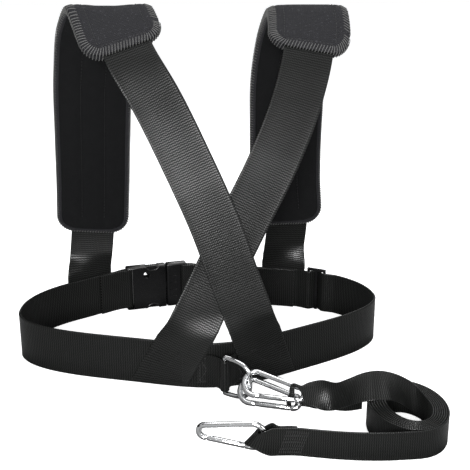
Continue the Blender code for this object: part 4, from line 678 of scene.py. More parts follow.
class TrainerWebbing(bpy.types.PropertyGroup):
    """Weave and colour of the webbing."""

    rib_pitch: FloatProperty(name="Rib pitch", description="Distance between the weft ribs", default=0.0025,
                             unit="LENGTH", precision=4)
    yarn_pitch: FloatProperty(name="Yarn pitch", description="Distance between columns of warp yarn", default=0.0018,
                              unit="LENGTH", precision=4)
    colour: FloatVectorProperty(name="Colour", description="Colour of the webbing", subtype="COLOR",
                                default=(0.0019, 0.0020, 0.0019))


class TrainerPads(bpy.types.PropertyGroup):
    """Cloth and fill of the shoulder pads."""

    cover_colour: FloatVectorProperty(name="Cover", description="Colour of the pad covers", subtype="COLOR",
                                      default=(0.010, 0.010, 0.0112))
    lining_colour: FloatVectorProperty(name="Lining", description="Colour of the inner faces", subtype="COLOR",
                                       default=(0.0016, 0.0017, 0.0019))
    thread_colour: FloatVectorProperty(name="Thread", description="Colour of the edge stitches", subtype="COLOR",
                                       default=(0.122, 0.122, 0.119))
    swell: FloatProperty(name="Swell", description="Most that a pad's face may swell", default=0.0022, unit="LENGTH",
                         precision=4)


class TrainerHardware(bpy.types.PropertyGroup):
    """Finish of the metal and plastic pieces."""

    plating: FloatVectorProperty(name="Plating", description="Colour of the plated steel", subtype="COLOR",
                                 default=(0.86, 0.87, 0.88))
    plastic: FloatVectorProperty(name="Plastic", description="Colour of the moulded pieces", subtype="COLOR",
                                 default=(0.0016, 0.0016, 0.0018))


class TrainerStage(bpy.types.PropertyGroup):
    """Camera and light."""

    lens: FloatProperty(name="Lens", description="Focal length of the camera in millimetres", default=66.5)
    key: FloatProperty(name="Key light", description="Power of the main lamp", default=46.0, unit="POWER")
    floor_lift: FloatProperty(name="Floor lift", description="Light that the camera adds to the pale floor",
                              default=0.68)


# Finishes


LOOKS = {}


def finishes():
    """Every material of the trainer, made once."""
    if LOOKS:
        return LOOKS
    scene = bpy.context.scene
    weave, grain = weave_group(), grain_group()
    pads, hardware, webbing = scene.trainer_pads, scene.trainer_hardware, scene.trainer_webbing
    LOOKS["webbing"] = web_material("black_webbing", weave, BELT_WIDTH / 2.0, webbing)
    LOOKS["tab_webbing"] = web_material("black_tab_webbing", weave, TAB_WIDTH / 2.0, webbing)
    LOOKS["pull_webbing"] = web_material("black_pull_webbing", weave, PULL_WIDTH / 2.0, webbing, 0.8)
    LOOKS["cover"] = pad_material("pad_cover_cloth", weave, tuple(pads.cover_colour), 0.0018, 0.0005, 0.35)
    LOOKS["lining"] = pad_material("pad_lining_nap", weave, tuple(pads.lining_colour), 0.0007, 0.00012, 0.12)
    tape = tuple(c * 0.8 for c in pads.cover_colour)
    LOOKS["binding"] = pad_material("edge_tape", weave, tape, 0.0012, 0.0003, 0.3)
    LOOKS["edge_thread"] = thread_material("edge_thread", tuple(pads.thread_colour))
    LOOKS["web_thread"] = thread_material("web_thread", (0.034, 0.034, 0.034))
    LOOKS["dark_thread"] = thread_material("dark_thread", (0.0045, 0.0045, 0.0047))
    LOOKS["plating"] = metal_material("bright_plating", grain, tuple(hardware.plating), 0.07)
    LOOKS["spring"] = metal_material("drawn_wire", grain, (0.55, 0.56, 0.58), 0.28)
    LOOKS["plastic"] = plastic_material("moulded_black", grain, tuple(hardware.plastic))
    return LOOKS


# Stage


class TRAINER_OT_stage(bpy.types.Operator):
    """Sets up the floor, the backdrop light, the lamps and the camera."""

    bl_idname = "trainer.stage"
    bl_label = "Stage"

    def execute(self, context):
        settings = context.scene.trainer_stage
        place_camera(settings)
        make_floor(settings)
        make_world()
        for name, at, aim, size, share in LAMPS:
            make_lamp(name, at, aim, size, settings.key * share)
        return {"FINISHED"}


def place_camera(settings):
    """The photograph's view: from behind and above, a little to the wearer's left."""
    level = math.cos(CAMERA_LIFT)
    back = np.array([math.sin(CAMERA_TURN) * level, -math.cos(CAMERA_TURN) * level, math.sin(CAMERA_LIFT)])
    right = np.array([math.cos(CAMERA_TURN), math.sin(CAMERA_TURN), 0.0])
    target = right * CAMERA_AIM_RIGHT + UP * CAMERA_AIM_Z
    data = bpy.data.cameras.new("photo_camera")
    data.lens = settings.lens
    data.sensor_width = 36.0
    data.clip_start = 0.01
    camera = bpy.data.objects.new("photo_camera", data)
    bpy.context.collection.objects.link(camera)
    camera.matrix_world = placement(target + back * CAMERA_AWAY - DATUM, right, np.cross(back, right), back)
    bpy.context.scene.camera = camera
    bpy.context.scene.view_settings.view_transform = "Standard"


def make_floor(settings):
    """Pale floor that keeps the trainer's shadow: lit up for the camera, darkened in reflections."""
    deselect()
    bpy.ops.mesh.primitive_grid_add(x_subdivisions=8, y_subdivisions=8, size=14.0, location=(0.0, 0.0, -0.0002))
    floor = bpy.context.object
    floor.name = "studio_floor"
    made, tree, shader = new_material("pale_floor", roughness=0.8, specular_ior_level=0.2)
    drift = noise(tree, object_place(tree), 3.0)
    pale = blend_colours(tree, drift, grey(0.88), grey(0.91))
    shader.inputs["Emission Color"].default_value = grey(1.0)
    seen = tree.nodes.new("ShaderNodeLightPath")
    close = calc(tree, "SMOOTH_MIN", calc(tree, "MULTIPLY", seen.outputs["Ray Length"], 28.0), 1.0, 0.3)
    close = calc(tree, "MULTIPLY_ADD", close, -0.28, 1.0)
    close = calc(tree, "MULTIPLY", close, seen.outputs["Is Glossy Ray"])
    dim = calc(tree, "MAXIMUM", close, 0.0)
    tree.links.new(blend_colours(tree, dim, pale, grey(0.01)), shader.inputs["Base Color"])
    lift = calc(tree, "MULTIPLY", seen.outputs["Is Camera Ray"], settings.floor_lift)
    tree.links.new(lift, shader.inputs["Emission Strength"])
    floor.data.materials.append(made)


def make_world():
    """White surround for the camera and for reflections, with a dark band low on the horizon for the metal."""
    world = bpy.data.worlds.new("pale_room")
    bpy.context.scene.world = world
    world.use_nodes = True
    tree = world.node_tree
    tree.nodes.clear()
    seen = tree.nodes.new("ShaderNodeLightPath")
    split = tree.nodes.new("ShaderNodeSeparateXYZ")
    tree.links.new(tree.nodes.new("ShaderNodeTexCoord").outputs["Generated"], split.inputs[0])
    band = tree.nodes.new("ShaderNodeValToRGB")
    for at, _ in ROOM_BANDS[1:-1]:
        band.color_ramp.elements.new(at)
    for element, (_, level) in zip(band.color_ramp.elements, ROOM_BANDS):
        element.color = grey(level)
    tilted = calc(tree, "MULTIPLY_ADD", split.outputs["Y"], ROOM_TILT,
                  calc(tree, "MULTIPLY", split.outputs["Z"], ROOM_RISE))
    tree.links.new(tilted, band.inputs["Fac"])

    def glow(colour, strength):
        node = tree.nodes.new("ShaderNodeBackground")
        feed(tree, colour, node.inputs["Color"])
        node.inputs["Strength"].default_value = strength
        return node.outputs[0]

    def choose(share, first, second):
        node = tree.nodes.new("ShaderNodeMixShader")
        for socket, value in zip(node.inputs, (share, first, second)):
            tree.links.new(value, socket)
        return node.outputs[0]

    around = choose(seen.outputs["Is Glossy Ray"], glow((0.95, 0.97, 1.0, 1.0), ROOM_FILL),
                    glow(band.outputs["Color"], 1.0))
    clear = calc(tree, "MAXIMUM", seen.outputs["Is Camera Ray"], seen.outputs["Is Transmission Ray"])
    out = tree.nodes.new("ShaderNodeOutputWorld")
    tree.links.new(choose(clear, around, glow(grey(1.0), 1.0)), out.inputs["Surface"])


def make_lamp(name, at, aim, size, power):
    """A soft square lamp that points at a place."""
    data = bpy.data.lights.new(name, "AREA")
    data.shape = "SQUARE"
    data.size = size
    data.energy = power
    lamp = bpy.data.objects.new(name, data)
    bpy.context.collection.objects.link(lamp)
    back = unit(np.array(at) - np.array(aim))
    right = unit(np.cross(UP, back))
    lamp.matrix_world = placement(at, right, np.cross(back, right), back)


# Belt


def buckle_axes():
    """The buckle's left end on the belt line, its directions along and out of the belt, and its length."""
    left = outline_point(outline_place(BUCKLE_LEFT_X, True))
    length = SOCKET_LENGTH + PLUG_LENGTH + GAP
    along = unit(outline_point(outline_place(BUCKLE_LEFT_X + length, True)) - left)
    return left, along, np.array([-along[1], along[0], 0.0]), length


def fold_round(centre, along, out, radius, steps, start_deg, end_deg):
    """Points of a fold about an upright bar, angles from the along direction towards out."""
    angles = np.radians(np.linspace(start_deg, end_deg, steps))
    return [centre + radius * (math.cos(a) * along + math.sin(a) * out) for a in angles]


def belt_plan():
    """Plan route of the belt: folded round the bar at each end of the buckle, woven through the slider."""
    left, along, out, length = buckle_axes()
    first_bar = left + along * BAR_FROM_END
    last_bar = left + along * (length - BAR_FROM_END)
    inner = -(BELT_THICK + 2.0 * GAP)
    start = outline_place(BUCKLE_LEFT_X, True)
    slider_at = outline_place(SLIDER_X, True)
    end = outline_place(BUCKLE_LEFT_X + length, True)
    if end < start:
        end += OUTLINE_AT[-1]
    lift = (SLIDER_THICK + BELT_THICK) / 2.0 + GAP
    edge = SLIDER_LENGTH / 2.0 - SLIDER_EDGE / 2.0
    marks = (0.0, SLIDER_BAR / 2.0, edge - SLIDER_EDGE / 2.0, edge + SLIDER_EDGE / 2.0, SLIDER_LENGTH)

    def side_point(at, offset):
        return outline_point(at % OUTLINE_AT[-1], offset)

    def weave(at):
        return float(np.interp(abs(at - slider_at), marks, (lift, lift, -lift, -lift, 0.0)))

    def blend(at):
        return min(1.0, (at - start) / BELT_SETTLE, (end - at) / BELT_SETTLE)

    points = [side_point(start + WEB_FOLD_BACK * k / 12.0, inner) for k in range(12, 2, -1)]
    points += fold_round(first_bar, along, out, BAR_FOLD, 15, -90.0, 90.0)
    run = np.arange(start + BAR_FOLD + BELT_STEP, end - 2.0 * BAR_FOLD, BELT_STEP)
    near = slider_at + SLIDER_LENGTH * np.arange(-24, 25) / 24.0
    run = np.sort(np.concatenate([run[np.abs(run - slider_at) > SLIDER_LENGTH], near]))
    points += [side_point(a, weave(a) + BAR_FOLD * max(0.0, 1.0 - blend(a))) for a in run]
    points += fold_round(last_bar, -along, out, BAR_FOLD, 15, 90.0, -90.0)
    tail = np.arange(end - 2.0 * BAR_FOLD, outline_place(TAIL_END_X, True), -BELT_STEP)
    points += [side_point(a, inner - (BAR_FOLD + inner) * max(0.0, 1.0 - (end - a) / BELT_SETTLE))
               for a in tail]
    plan = np.array(points)
    away = np.minimum(np.linalg.norm(plan - first_bar, axis=1), np.linalg.norm(plan - last_bar, axis=1))
    fade = np.clip(1.0 - (away - BUCKLE_SILL) / SILL_FADE, 0.0, 1.0)
    return plan, BUCKLE_SILL * smooth_step(fade)


def side_stitches(start_at, columns, z_low, z_high, out):
    """Stitch paths on the outer side of the belt: a box between two places along it and two heights, with a cross."""
    paths = []
    first, last = columns
    corners = [(first, z_low), (last, z_low), (last, z_high), (first, z_high), (first, z_low), (last, z_high)]
    legs = list(zip(corners[:-1], corners[1:])) + [((first, z_high), (last, z_low))]
    for (a0, z0), (a1, z1) in legs:
        length = math.hypot(a1 - a0, z1 - z0)
        count = max(2, int(length / WEB_PITCH))
        for k in range(count):
            path = []
            for t, rise in WEB_STITCH:
                share = (k + t) / count
                at = start_at + a0 + (a1 - a0) * share
                path.append(outline_point(at, out + rise, z0 + (z1 - z0) * share))
            paths.append(path)
    return paths


class TRAINER_OT_belt(bpy.types.Operator):
    """Weaves the waist belt through its buckle and slider."""

    bl_idname = "trainer.belt"
    bl_label = "Belt"

    def execute(self, context):
        plan, base = belt_plan()
        belt = upright_web("belt_strap", plan, BELT_WIDTH, BELT_THICK, base)
        finish_piece(belt, finishes()["webbing"], "harness", "webbing", "belt_webbing")
        length = rise_along(plan)[-1]
        return {"FINISHED"}


# Shoulder straps


def strap_course(side):
    """Middle line of a strap and its outward normals, from its front foot on the belt to its back foot."""
    front_x, back_x = FEET_X[side]
    course = COURSES[side]
    out = (BELT_THICK + STRAP_THICK) / 2.0 + SEWN_GAP
    tab = TAB_THICK + SEWN_GAP
    front_at = outline_place(front_x, True)
    front = [outline_point(front_at, out, z) for z in (FOOT_Z, BELT_WIDTH * 0.55, BELT_WIDTH * 1.1)]
    lean = back_x - course[-1][0]
    back = []
    for share in (1.15, 0.60):
        z = BELT_WIDTH * share
        at = outline_place(back_x - lean * (z - FOOT_Z) / (COURSES["left"][-1][2] - FOOT_Z), False)
        back.append(outline_point(at, out + tab, z))
    back.append(outline_point(outline_place(back_x, False), out + tab, FOOT_Z))
    route = smooth_route(np.array(front + [np.array(p) for p in course] + back), 240)
    way = directions(route)
    normal = unit_rows(np.column_stack([np.zeros(len(route)), way[:, 2], -way[:, 1]]))
    count = 2 * STIFF_ROWS + 1
    way[:, 0] = np.convolve(np.pad(way[:, 0], STIFF_ROWS, mode="edge"), np.ones(count) / count, mode="valid")
    beyond = np.maximum(CROSS_LOW_Z - route[:, 2], route[:, 2] - CROSS_HIGH_Z)
    swell = np.clip(1.0 - beyond / CROSS_FADE, 0.0, 1.0) * (route[:, 1] < 0)
    route = route + normal * (swell * (CROSS_CLEAR if side == "left" else -CROSS_CLEAR))[:, None]
    return route, way, normal


def strap_grid(route, way, normal):
    """Grid of middle points across a strap, laid on the belt and cut level at its feet."""
    out = (BELT_THICK + STRAP_THICK) / 2.0 + SEWN_GAP
    grid = np.zeros((len(route), len(WEB_SHARES), 3))
    face = np.repeat(normal[:, None, :], len(WEB_SHARES), axis=1)
    wide = unit_rows(np.cross(normal, way))
    at = rise_along(route)
    for j, share in enumerate(WEB_SHARES):
        line = route + wide * share * STRAP_WIDTH / 2.0
        for end, gone in ((0, at), (-1, at[-1] - at)):
            slide = (FOOT_Z - line[end][2]) / way[end][2]
            line = line + way[end] * (slide * np.clip(1.0 - gone / FOOT_EASE, 0.0, 1.0))[:, None]
        grid[:, j] = line
    for i in range(len(route)):
        front = route[i][1] > 0
        layer = out if front else out + TAB_THICK + SEWN_GAP
        for j in range(len(WEB_SHARES)):
            free = grid[i, j].copy()
            loose = smooth_step(min(1.0, max(0.0, (free[2] - BELT_WIDTH - FOOT_RISE) / FOOT_BLEND)))
            if loose < 1.0:
                at_x = outline_place(free[0], front)
                held = outline_point(at_x, layer, free[2])
                outer = unit(outline_point(at_x, layer + 0.002) - outline_point(at_x, layer))
                grid[i, j] = held + (free - held) * loose
                face[i, j] = unit(outer + (face[i, j] - outer) * loose)
    return grid, face


class TRAINER_OT_straps(bpy.types.Operator):
    """Lays both shoulder straps from the belt's front over the shoulders to the belt's back."""

    bl_idname = "trainer.straps"
    bl_label = "Shoulder straps"

    def execute(self, context):
        for side in ("left", "right"):
            route, way, normal = strap_course(side)
            grid, face = strap_grid(route, unit_rows(way), normal)
            band = web_piece("shoulder_band_" + side, grid, face, STRAP_THICK, STRAP_WIDTH)
            finish_piece(band, finishes()["webbing"], "harness", "webbing", "shoulder_strap_" + side)
            length = rise_along(route)[-1]
        return {"FINISHED"}


# Pads


def pad_frame(side):
    """Function that carries a pad's own places, along, across and through, to the strap's course."""
    route, way, normal = strap_course(side)
    at = rise_along(route)
    start = at[np.argmax(route[:, 2] > PAD_LOWER_Z)]
    wide = np.cross(normal, way)

    def carry(places):
        s, u, h = np.asarray(places, float).reshape(-1, 3).T
        where = start + s
        middle = pick(route, at, where)
        across = unit_rows(pick(wide, at, where))
        through = unit_rows(pick(normal, at, where))
        return middle + across * u[:, None] + through * h[:, None]

    return carry


def pad_half(d, inset):
    """Half the pad's width at distances from its nearer end, drawn in by an inset."""
    corner, half = PAD_CORNER - inset, PAD_WIDTH / 2.0 - inset
    d = np.minimum(d, corner)
    return half - corner + np.sqrt(np.maximum(0.0, corner ** 2 - (corner - d) ** 2))


def pad_columns(inset):
    """Places along a pad, close together at its round ends."""
    corner = PAD_CORNER - inset
    ends = inset + corner * (1.0 - np.cos(np.radians(np.arange(0.0, 90.0, 9.0))))
    middle = np.linspace(PAD_CORNER, PAD_LENGTH - PAD_CORNER, 76)
    return np.concatenate([ends, middle, PAD_LENGTH - ends[::-1]])


def two_faced(name, carry, rows, half, shares, upper, lower):
    """Closed shell between two heights over a pad's plan."""
    u = half[:, None] * shares[None, :]
    s = np.broadcast_to(rows[:, None], u.shape)
    rings = []
    for height, step in ((upper, 1), (lower, -1)):
        h = height(s, u)
        rings.append(np.stack([s, u, h], axis=2)[:, ::step])
    rings = np.concatenate(rings, axis=1)
    places = rings.reshape(-1, 3)
    faces = ring_faces(len(rows), 2 * len(shares))
    return outward(mesh_piece(name, carry(places), faces, places[:, [1, 0]]))


def cover_height(s, u):
    """Outer face of a cover: level over the strap, drawn down to the edge, full between its stitches."""
    reach = np.clip((np.abs(u) - COVER_LEVEL) / (PAD_WIDTH / 2.0 - COVER_LEVEL), 0.0, 1.0)
    level = STRAP_THICK / 2.0 + SEWN_GAP + PAD_SKIN - COVER_DROP * reach ** 1.35
    seams = hill(np.abs(u) - COVER_SEAM_U, SEAM_WIDE) + hill(np.minimum(s, PAD_LENGTH - s) - COVER_BAR_S, BAR_WIDE)
    crown = COVER_CROWN * (1.0 - (u / (PAD_WIDTH / 2.0)) ** 2)
    pucker = PUCKER_HEIGHT * np.sin(s * PUCKER_TURN) * np.exp(-((PAD_WIDTH / 2.0 - np.abs(u)) / PUCKER_REACH))
    return level + crown - SEAM_DEEP * seams + pucker


def channel_depth(u):
    """Depth of the two sewn channels of the inner face."""
    return PAD_CHANNEL * hill(np.abs(u) - CHANNEL_U, CHANNEL_SPREAD)


def plain_body():
    """Closed flat form of the foam and lining: corners in the pad's own places."""
    rows = np.linspace(BODY_INSET, PAD_LENGTH - BODY_INSET, 70)
    half = pad_half(np.minimum(rows, PAD_LENGTH - rows) - BODY_INSET, BODY_INSET)
    shares = np.linspace(-1.0, 1.0, 19)
    u = half[:, None] * shares[None, :]
    s = np.broadcast_to(rows[:, None], u.shape)
    drop = PAD_EDGE_DROP * np.abs(shares)[None, :] ** 3 + np.zeros_like(u)
    upper = np.stack([s, u, PAD_TOP - drop], axis=2)
    lower = np.stack([s, u, PAD_TOP - PAD_THICK + drop], axis=2)
    rings = np.concatenate([upper, lower[:, ::-1]], axis=1)
    return rings.reshape(-1, 3), ring_faces(len(rows), 2 * len(shares))


def swollen_body(name, swell):
    """The flat pad blown up by a cloth simulation, held at its bound edge, as places and faces."""
    places, faces = plain_body()
    piece = outward(mesh_piece(name + "_work", places + DATUM, faces))
    focus(piece)
    piece.data.remesh_voxel_size = BODY_VOXEL
    bpy.ops.object.voxel_remesh()
    rest = np.array([v.co for v in piece.data.vertices])
    s, u = rest[:, 0], rest[:, 1]
    half = pad_half(np.minimum(s, PAD_LENGTH - s), 0.0)
    inside = np.minimum(half - np.abs(u), np.minimum(s, PAD_LENGTH - s))
    pins = piece.vertex_groups.new(name="bound_edge")
    for k, depth in enumerate(inside):
        weight = float(np.clip(1.0 - (depth - PIN_DEPTH) / PIN_FADE, 0.0, 1.0))
        if weight > 0.0:
            pins.add([k], weight, "REPLACE")
    step = piece.modifiers.new("swelling", "CLOTH")
    step.settings.use_pressure = True
    step.settings.uniform_pressure_force = SWELL_PRESSURE
    step.settings.vertex_group_mass = "bound_edge"
    step.settings.effector_weights.gravity = 0.0
    scene = bpy.context.scene
    for number in range(1, SWELL_FRAMES + 1):
        scene.frame_set(number)
    focus(piece)
    bpy.ops.object.modifier_apply(modifier="swelling")
    scene.frame_set(1)
    moved = np.array([v.co for v in piece.data.vertices]) - rest
    far = np.linalg.norm(moved, axis=1)
    moved *= np.minimum(1.0, swell / np.maximum(far, 1e-9))[:, None]
    for vertex, place in zip(piece.data.vertices, rest + moved):
        vertex.co = place
    smoother = piece.modifiers.new("finer", "SUBSURF")
    smoother.levels = smoother.render_levels = 1
    apply_modifiers(piece)
    places = np.array([v.co for v in piece.data.vertices])
    faces = [tuple(f.vertices) for f in piece.data.polygons]
    bpy.data.objects.remove(piece)
    return places, faces


def make_body(side, carry, swell):
    """Foam and lining of a pad in one padded form, with the two channels sewn into its inner face."""
    places, faces = swollen_body("pad_body_" + side, swell)
    s, u, h = places.T
    inner = np.clip((PAD_MIDDLE - h) / (PAD_THICK / 2.0), 0.0, 1.0)
    ends = np.clip((np.minimum(s, PAD_LENGTH - s) - CHANNEL_START) / CHANNEL_EASE, 0.0, 1.0)
    h = h + channel_depth(u) * inner * ends
    top = PAD_TOP - BODY_CLEAR - PAD_EDGE_DROP * np.abs(u / (PAD_WIDTH / 2.0)) ** 3
    places = np.column_stack([s, u, np.minimum(h, top)])
    piece = outward(mesh_piece("pad_body_" + side, carry(places), faces, places[:, [1, 0]]))
    finish_mesh(piece, 75.0)
    finish_piece(piece, finishes()["lining"], "harness", "pad_lining", "pad_foam_" + side, "pad_lining_" + side)


def pad_edge(inset, straight=130):
    """Closed line round a pad at an inset from its edge: places, outward directions and distances along it."""
    corner, half = PAD_CORNER - inset, PAD_WIDTH / 2.0 - inset
    far = PAD_LENGTH - PAD_CORNER
    edge = []
    quarter = np.radians(np.linspace(0.0, 90.0, 14))
    for centre_s, centre_u, first in ((far, half - corner, 90.0), (far, corner - half, 0.0),
                                      (PAD_CORNER, corner - half, -90.0), (PAD_CORNER, half - corner, -180.0)):
        for turn in quarter:
            a = math.radians(first) - turn
            edge.append((centre_s + corner * math.cos(a), centre_u + corner * math.sin(a)))
        if first in (0.0, -180.0):
            ends = (far, PAD_CORNER) if first == 0.0 else (PAD_CORNER, far)
            edge += [(s, edge[-1][1]) for s in np.linspace(*ends, straight)[1:-1]]
    edge = np.array(edge)
    ahead = unit_rows(np.roll(edge, -1, axis=0) - np.roll(edge, 1, axis=0))
    return edge, np.column_stack([-ahead[:, 1], ahead[:, 0]]), rise_along(edge)


def make_edge(side, carry):
    """Tape bound round the pad's edge, a little full, with its two folded lips."""
    edge, out, at = pad_edge(BINDING_WIDTH / 2.0)
    section = BINDING_SECTION + tuple((reach, -tall) for reach, tall in BINDING_SECTION[:0:-1])
    profile = np.array(section) * (BINDING_WIDTH / 2.0, BINDING_THICK / 2.0)
    around = rise_along(profile)
    places, uvs = [], []
    for (s, u), (ds, du), far in zip(edge, out, at):
        for (reach, tall), turn in zip(profile, around):
            places.append((s + ds * reach, u + du * reach, PAD_MIDDLE + tall))
            uvs.append((turn, far))
    faces = ring_faces(len(edge), len(profile), closed=True)
    piece = outward(mesh_piece("pad_edge_" + side, carry(places), faces, uvs))
    finish_piece(piece, finishes()["binding"], "harness", "binding", "pad_binding_" + side)


def whip_stitches(side, carry):
    """Slanted stitches over the pad's edge, from its cover round the binding to its lining."""
    edge, out, at = pad_edge(0.0, straight=160)
    paths = []
    for k in range(int(at[-1] / WHIP_PITCH)):
        path = []
        for n, (share, reach, height) in enumerate(WHIP_OVER + WHIP_ROUND):
            where = (k * WHIP_PITCH + WHIP_SLANT * share) % at[-1]
            s, u = pick(edge, at, where)[0] + pick(out, at, where)[0] * reach
            base = float(cover_height(s, u)) if n < len(WHIP_OVER) else PAD_MIDDLE
            path.append((s, u, base + height))
        paths.append(carry(path))
    piece = threads("pad_whip_stitches_" + side, paths, EDGE_THREAD)
    finish_piece(piece, finishes()["edge_thread"], "harness", "binding")


def run_stitches(side, carry):
    """Running stitches of a pad: two rows along the strap's edges, one across each end, two rows inside."""
    paths = []

    def row(begin, finish, height):
        begin, finish = np.array(begin), np.array(finish)
        count = int(np.linalg.norm(finish - begin) / PAD_PITCH)
        for k in range(count):
            path = []
            for t, rise in PAD_STITCH:
                s, u = begin + (finish - begin) * (k + t) / count
                path.append((s, u, height(s, u, rise)))
            paths.append(carry(path))

    def over(s, u, rise):
        return float(cover_height(s, u)) + rise

    def under(s, u, rise):
        return PAD_TOP - PAD_THICK + PAD_CHANNEL - 0.0003 - rise

    for sign in (-1.0, 1.0):
        row((SEAM_FROM_END, sign * COVER_SEAM_U), (PAD_LENGTH - SEAM_FROM_END, sign * COVER_SEAM_U), over)
    for s in (COVER_BAR_S, PAD_LENGTH - COVER_BAR_S):
        row((s, -BAR_HALF), (s, BAR_HALF), over)
    piece = threads("pad_run_stitches_" + side, paths, THREAD)
    finish_piece(piece, finishes()["web_thread"], "harness", "binding")
    paths.clear()
    for sign in (-1.0, 1.0):
        row((CHANNEL_FROM_END, sign * CHANNEL_U), (PAD_LENGTH - CHANNEL_FROM_END, sign * CHANNEL_U), under)
    piece = threads("pad_channel_stitches_" + side, paths, THREAD)
    finish_piece(piece, finishes()["dark_thread"], "harness", "binding")


class TRAINER_OT_pads(bpy.types.Operator):
    """Makes both shoulder pads: swollen body, cover over the strap, bound edge and stitches."""

    bl_idname = "trainer.pads"
    bl_label = "Shoulder pads"

    def execute(self, context):
        for side in ("left", "right"):
            carry = pad_frame(side)
            make_body(side, carry, context.scene.trainer_pads.swell)
            rows = pad_columns(SEWN_GAP)
            half = pad_half(np.minimum(rows, PAD_LENGTH - rows) - SEWN_GAP, SEWN_GAP)
            shares = np.sin(np.linspace(-math.pi / 2.0, math.pi / 2.0, 41))
            cover = two_faced("pad_shell_" + side, carry, rows, half, shares, cover_height,
                              lambda s, u: cover_height(s, u) - COVER_WALL)
            finish_piece(cover, finishes()["cover"], "harness", "pad_fabric", "pad_cover_" + side)
            make_edge(side, carry)
            whip_stitches(side, carry)
            run_stitches(side, carry)
        return {"FINISHED"}


# Ring and tab


def ring_axes():
    """The upright bar's place, the direction its bow points and the height of its middle."""
    bar = outline_point(outline_place(BACK_PULL[0], False), BELT_THICK / 2.0 + TAB_ARCH - RING_WIRE / 2.0)
    return bar, np.array([math.cos(RING_SWING), math.sin(RING_SWING), 0.0]), RING_HEIGHT / 2.0


def tab_plan():
    """Plan route of the tab: sewn on the belt's outer side, arched over the ring's bar."""
    at = outline_place(BACK_PULL[0], False)
    foot = (BELT_THICK + TAB_THICK) / 2.0 + GAP
    clear = RING_WIRE / 2.0 + GAP + TAB_THICK / 2.0
    bar, _, _ = ring_axes()
    back = outline_point(at)
    out = unit(outline_point(at, 0.002) - back)
    along = np.array([out[1], -out[0], 0.0])
    near = clear * 1.6
    plan = [outline_point(at - near - TAB_FOOT * k / 3.0, foot) for k in (3, 2.3, 1.7)]
    if np.dot(plan[0] - back, along) > 0:
        along = -along
    centre = flat(bar)
    neck = np.linalg.norm(centre[:2] - back[:2]) - foot
    plan += [back + out * (foot + neck * t) - along * clear * w for t, w in TAB_NECK]
    angles = np.radians(np.linspace(200.0, -20.0, 10))
    plan += [centre + clear * (math.cos(a) * along + math.sin(a) * out) for a in angles]
    plan += [back + out * (foot + neck * t) + along * clear * w for t, w in TAB_NECK[::-1]]
    plan += [outline_point(at + near + TAB_FOOT * k / 3.0, foot) for k in (1.7, 2.3, 3)]
    return smooth_route(plan, 110)


def wire_piece(name, points, radius, cyclic=False):
    """Round wire along points in the part's frame: a poly curve with a round section, made a mesh."""
    curve = bpy.data.curves.new(name, "CURVE")
    curve.dimensions = "3D"
    curve.bevel_depth = radius
    curve.bevel_resolution = 6
    curve.use_fill_caps = not cyclic
    spline = curve.splines.new("POLY")
    spline.points.add(len(points) - 1)
    for point, place in zip(spline.points, points):
        point.co = (*place, 1.0)
    spline.use_cyclic_u = cyclic
    piece = bpy.data.objects.new(name, curve)
    bpy.context.collection.objects.link(piece)
    focus(piece)
    bpy.ops.object.convert(target="MESH")
    return outward(bpy.context.object)


class TRAINER_OT_ring(bpy.types.Operator):
    """Bends the ring and sews its tab on the back of the belt."""

    bl_idname = "trainer.ring"
    bl_label = "Ring and tab"

    def execute(self, context):
        bar, way, middle = ring_axes()
        half = (RING_HEIGHT - RING_WIRE) / 2.0
        angles = np.radians(np.linspace(-90.0, 90.0, 73))
        reach = RING_DEPTH * np.abs(np.cos(angles)) ** (2.0 / RING_POWER)
        rise = half * np.sign(np.sin(angles)) * np.abs(np.sin(angles)) ** (2.0 / RING_POWER)
        bow = bar + way * reach[:, None] + UP * (middle + rise)[:, None]
        back = [bow[-1] + (bow[0] - bow[-1]) * t for t in np.linspace(0.0, 1.0, 13)[1:-1]]
        route = np.concatenate([bow, back])
        wire = wire_piece("ring_wire", resample_loop(route, 150) - DATUM, RING_WIRE / 2.0, cyclic=True)
        finish_mesh(wire, 60.0)
        finish_piece(wire, finishes()["plating"], "ring", "plated_steel", "d_ring")
        plan = tab_plan()
        tab = upright_web("ring_loop_tab", plan, TAB_WIDTH, TAB_THICK, middle - TAB_WIDTH / 2.0)
        finish_piece(tab, finishes()["tab_webbing"], "harness", "webbing", "ring_tab")
        rise_along(plan)[-1]
        at = outline_place(BACK_PULL[0], False)
        foot = BELT_THICK / 2.0 + GAP + TAB_THICK
        paths = []
        for sign in (-1.0, 1.0):
            columns = (sign * (TAB_FOOT + TAB_SEAM_BEYOND), sign * TAB_SEAM_INNER)
            paths += side_stitches(at, columns, middle - TAB_SEAM_HALF, middle + TAB_SEAM_HALF, foot)
        piece = threads("tab_stitches", paths, THREAD)
        finish_piece(piece, finishes()["web_thread"], "harness", "webbing")
        return {"FINISHED"}


def resample_loop(route, count):
    """Evenly spaced points on a closed route."""
    closed = np.concatenate([route, route[:1]])
    return resample(closed, count + 1)[:-1]


# Snap hooks


def hook_axes(heading, tilt, pitch=0.0):
    """A hook's own axes: along it from wide to narrow end, square to its plane, and from gate to spine."""
    level = math.cos(pitch)
    along = np.array([math.cos(heading) * level, math.sin(heading) * level, math.sin(pitch)])
    flat_side = unit(np.cross(UP, along))
    spine = math.cos(tilt) * np.cross(along, flat_side) + math.sin(tilt) * flat_side
    return along, np.cross(spine, along), spine


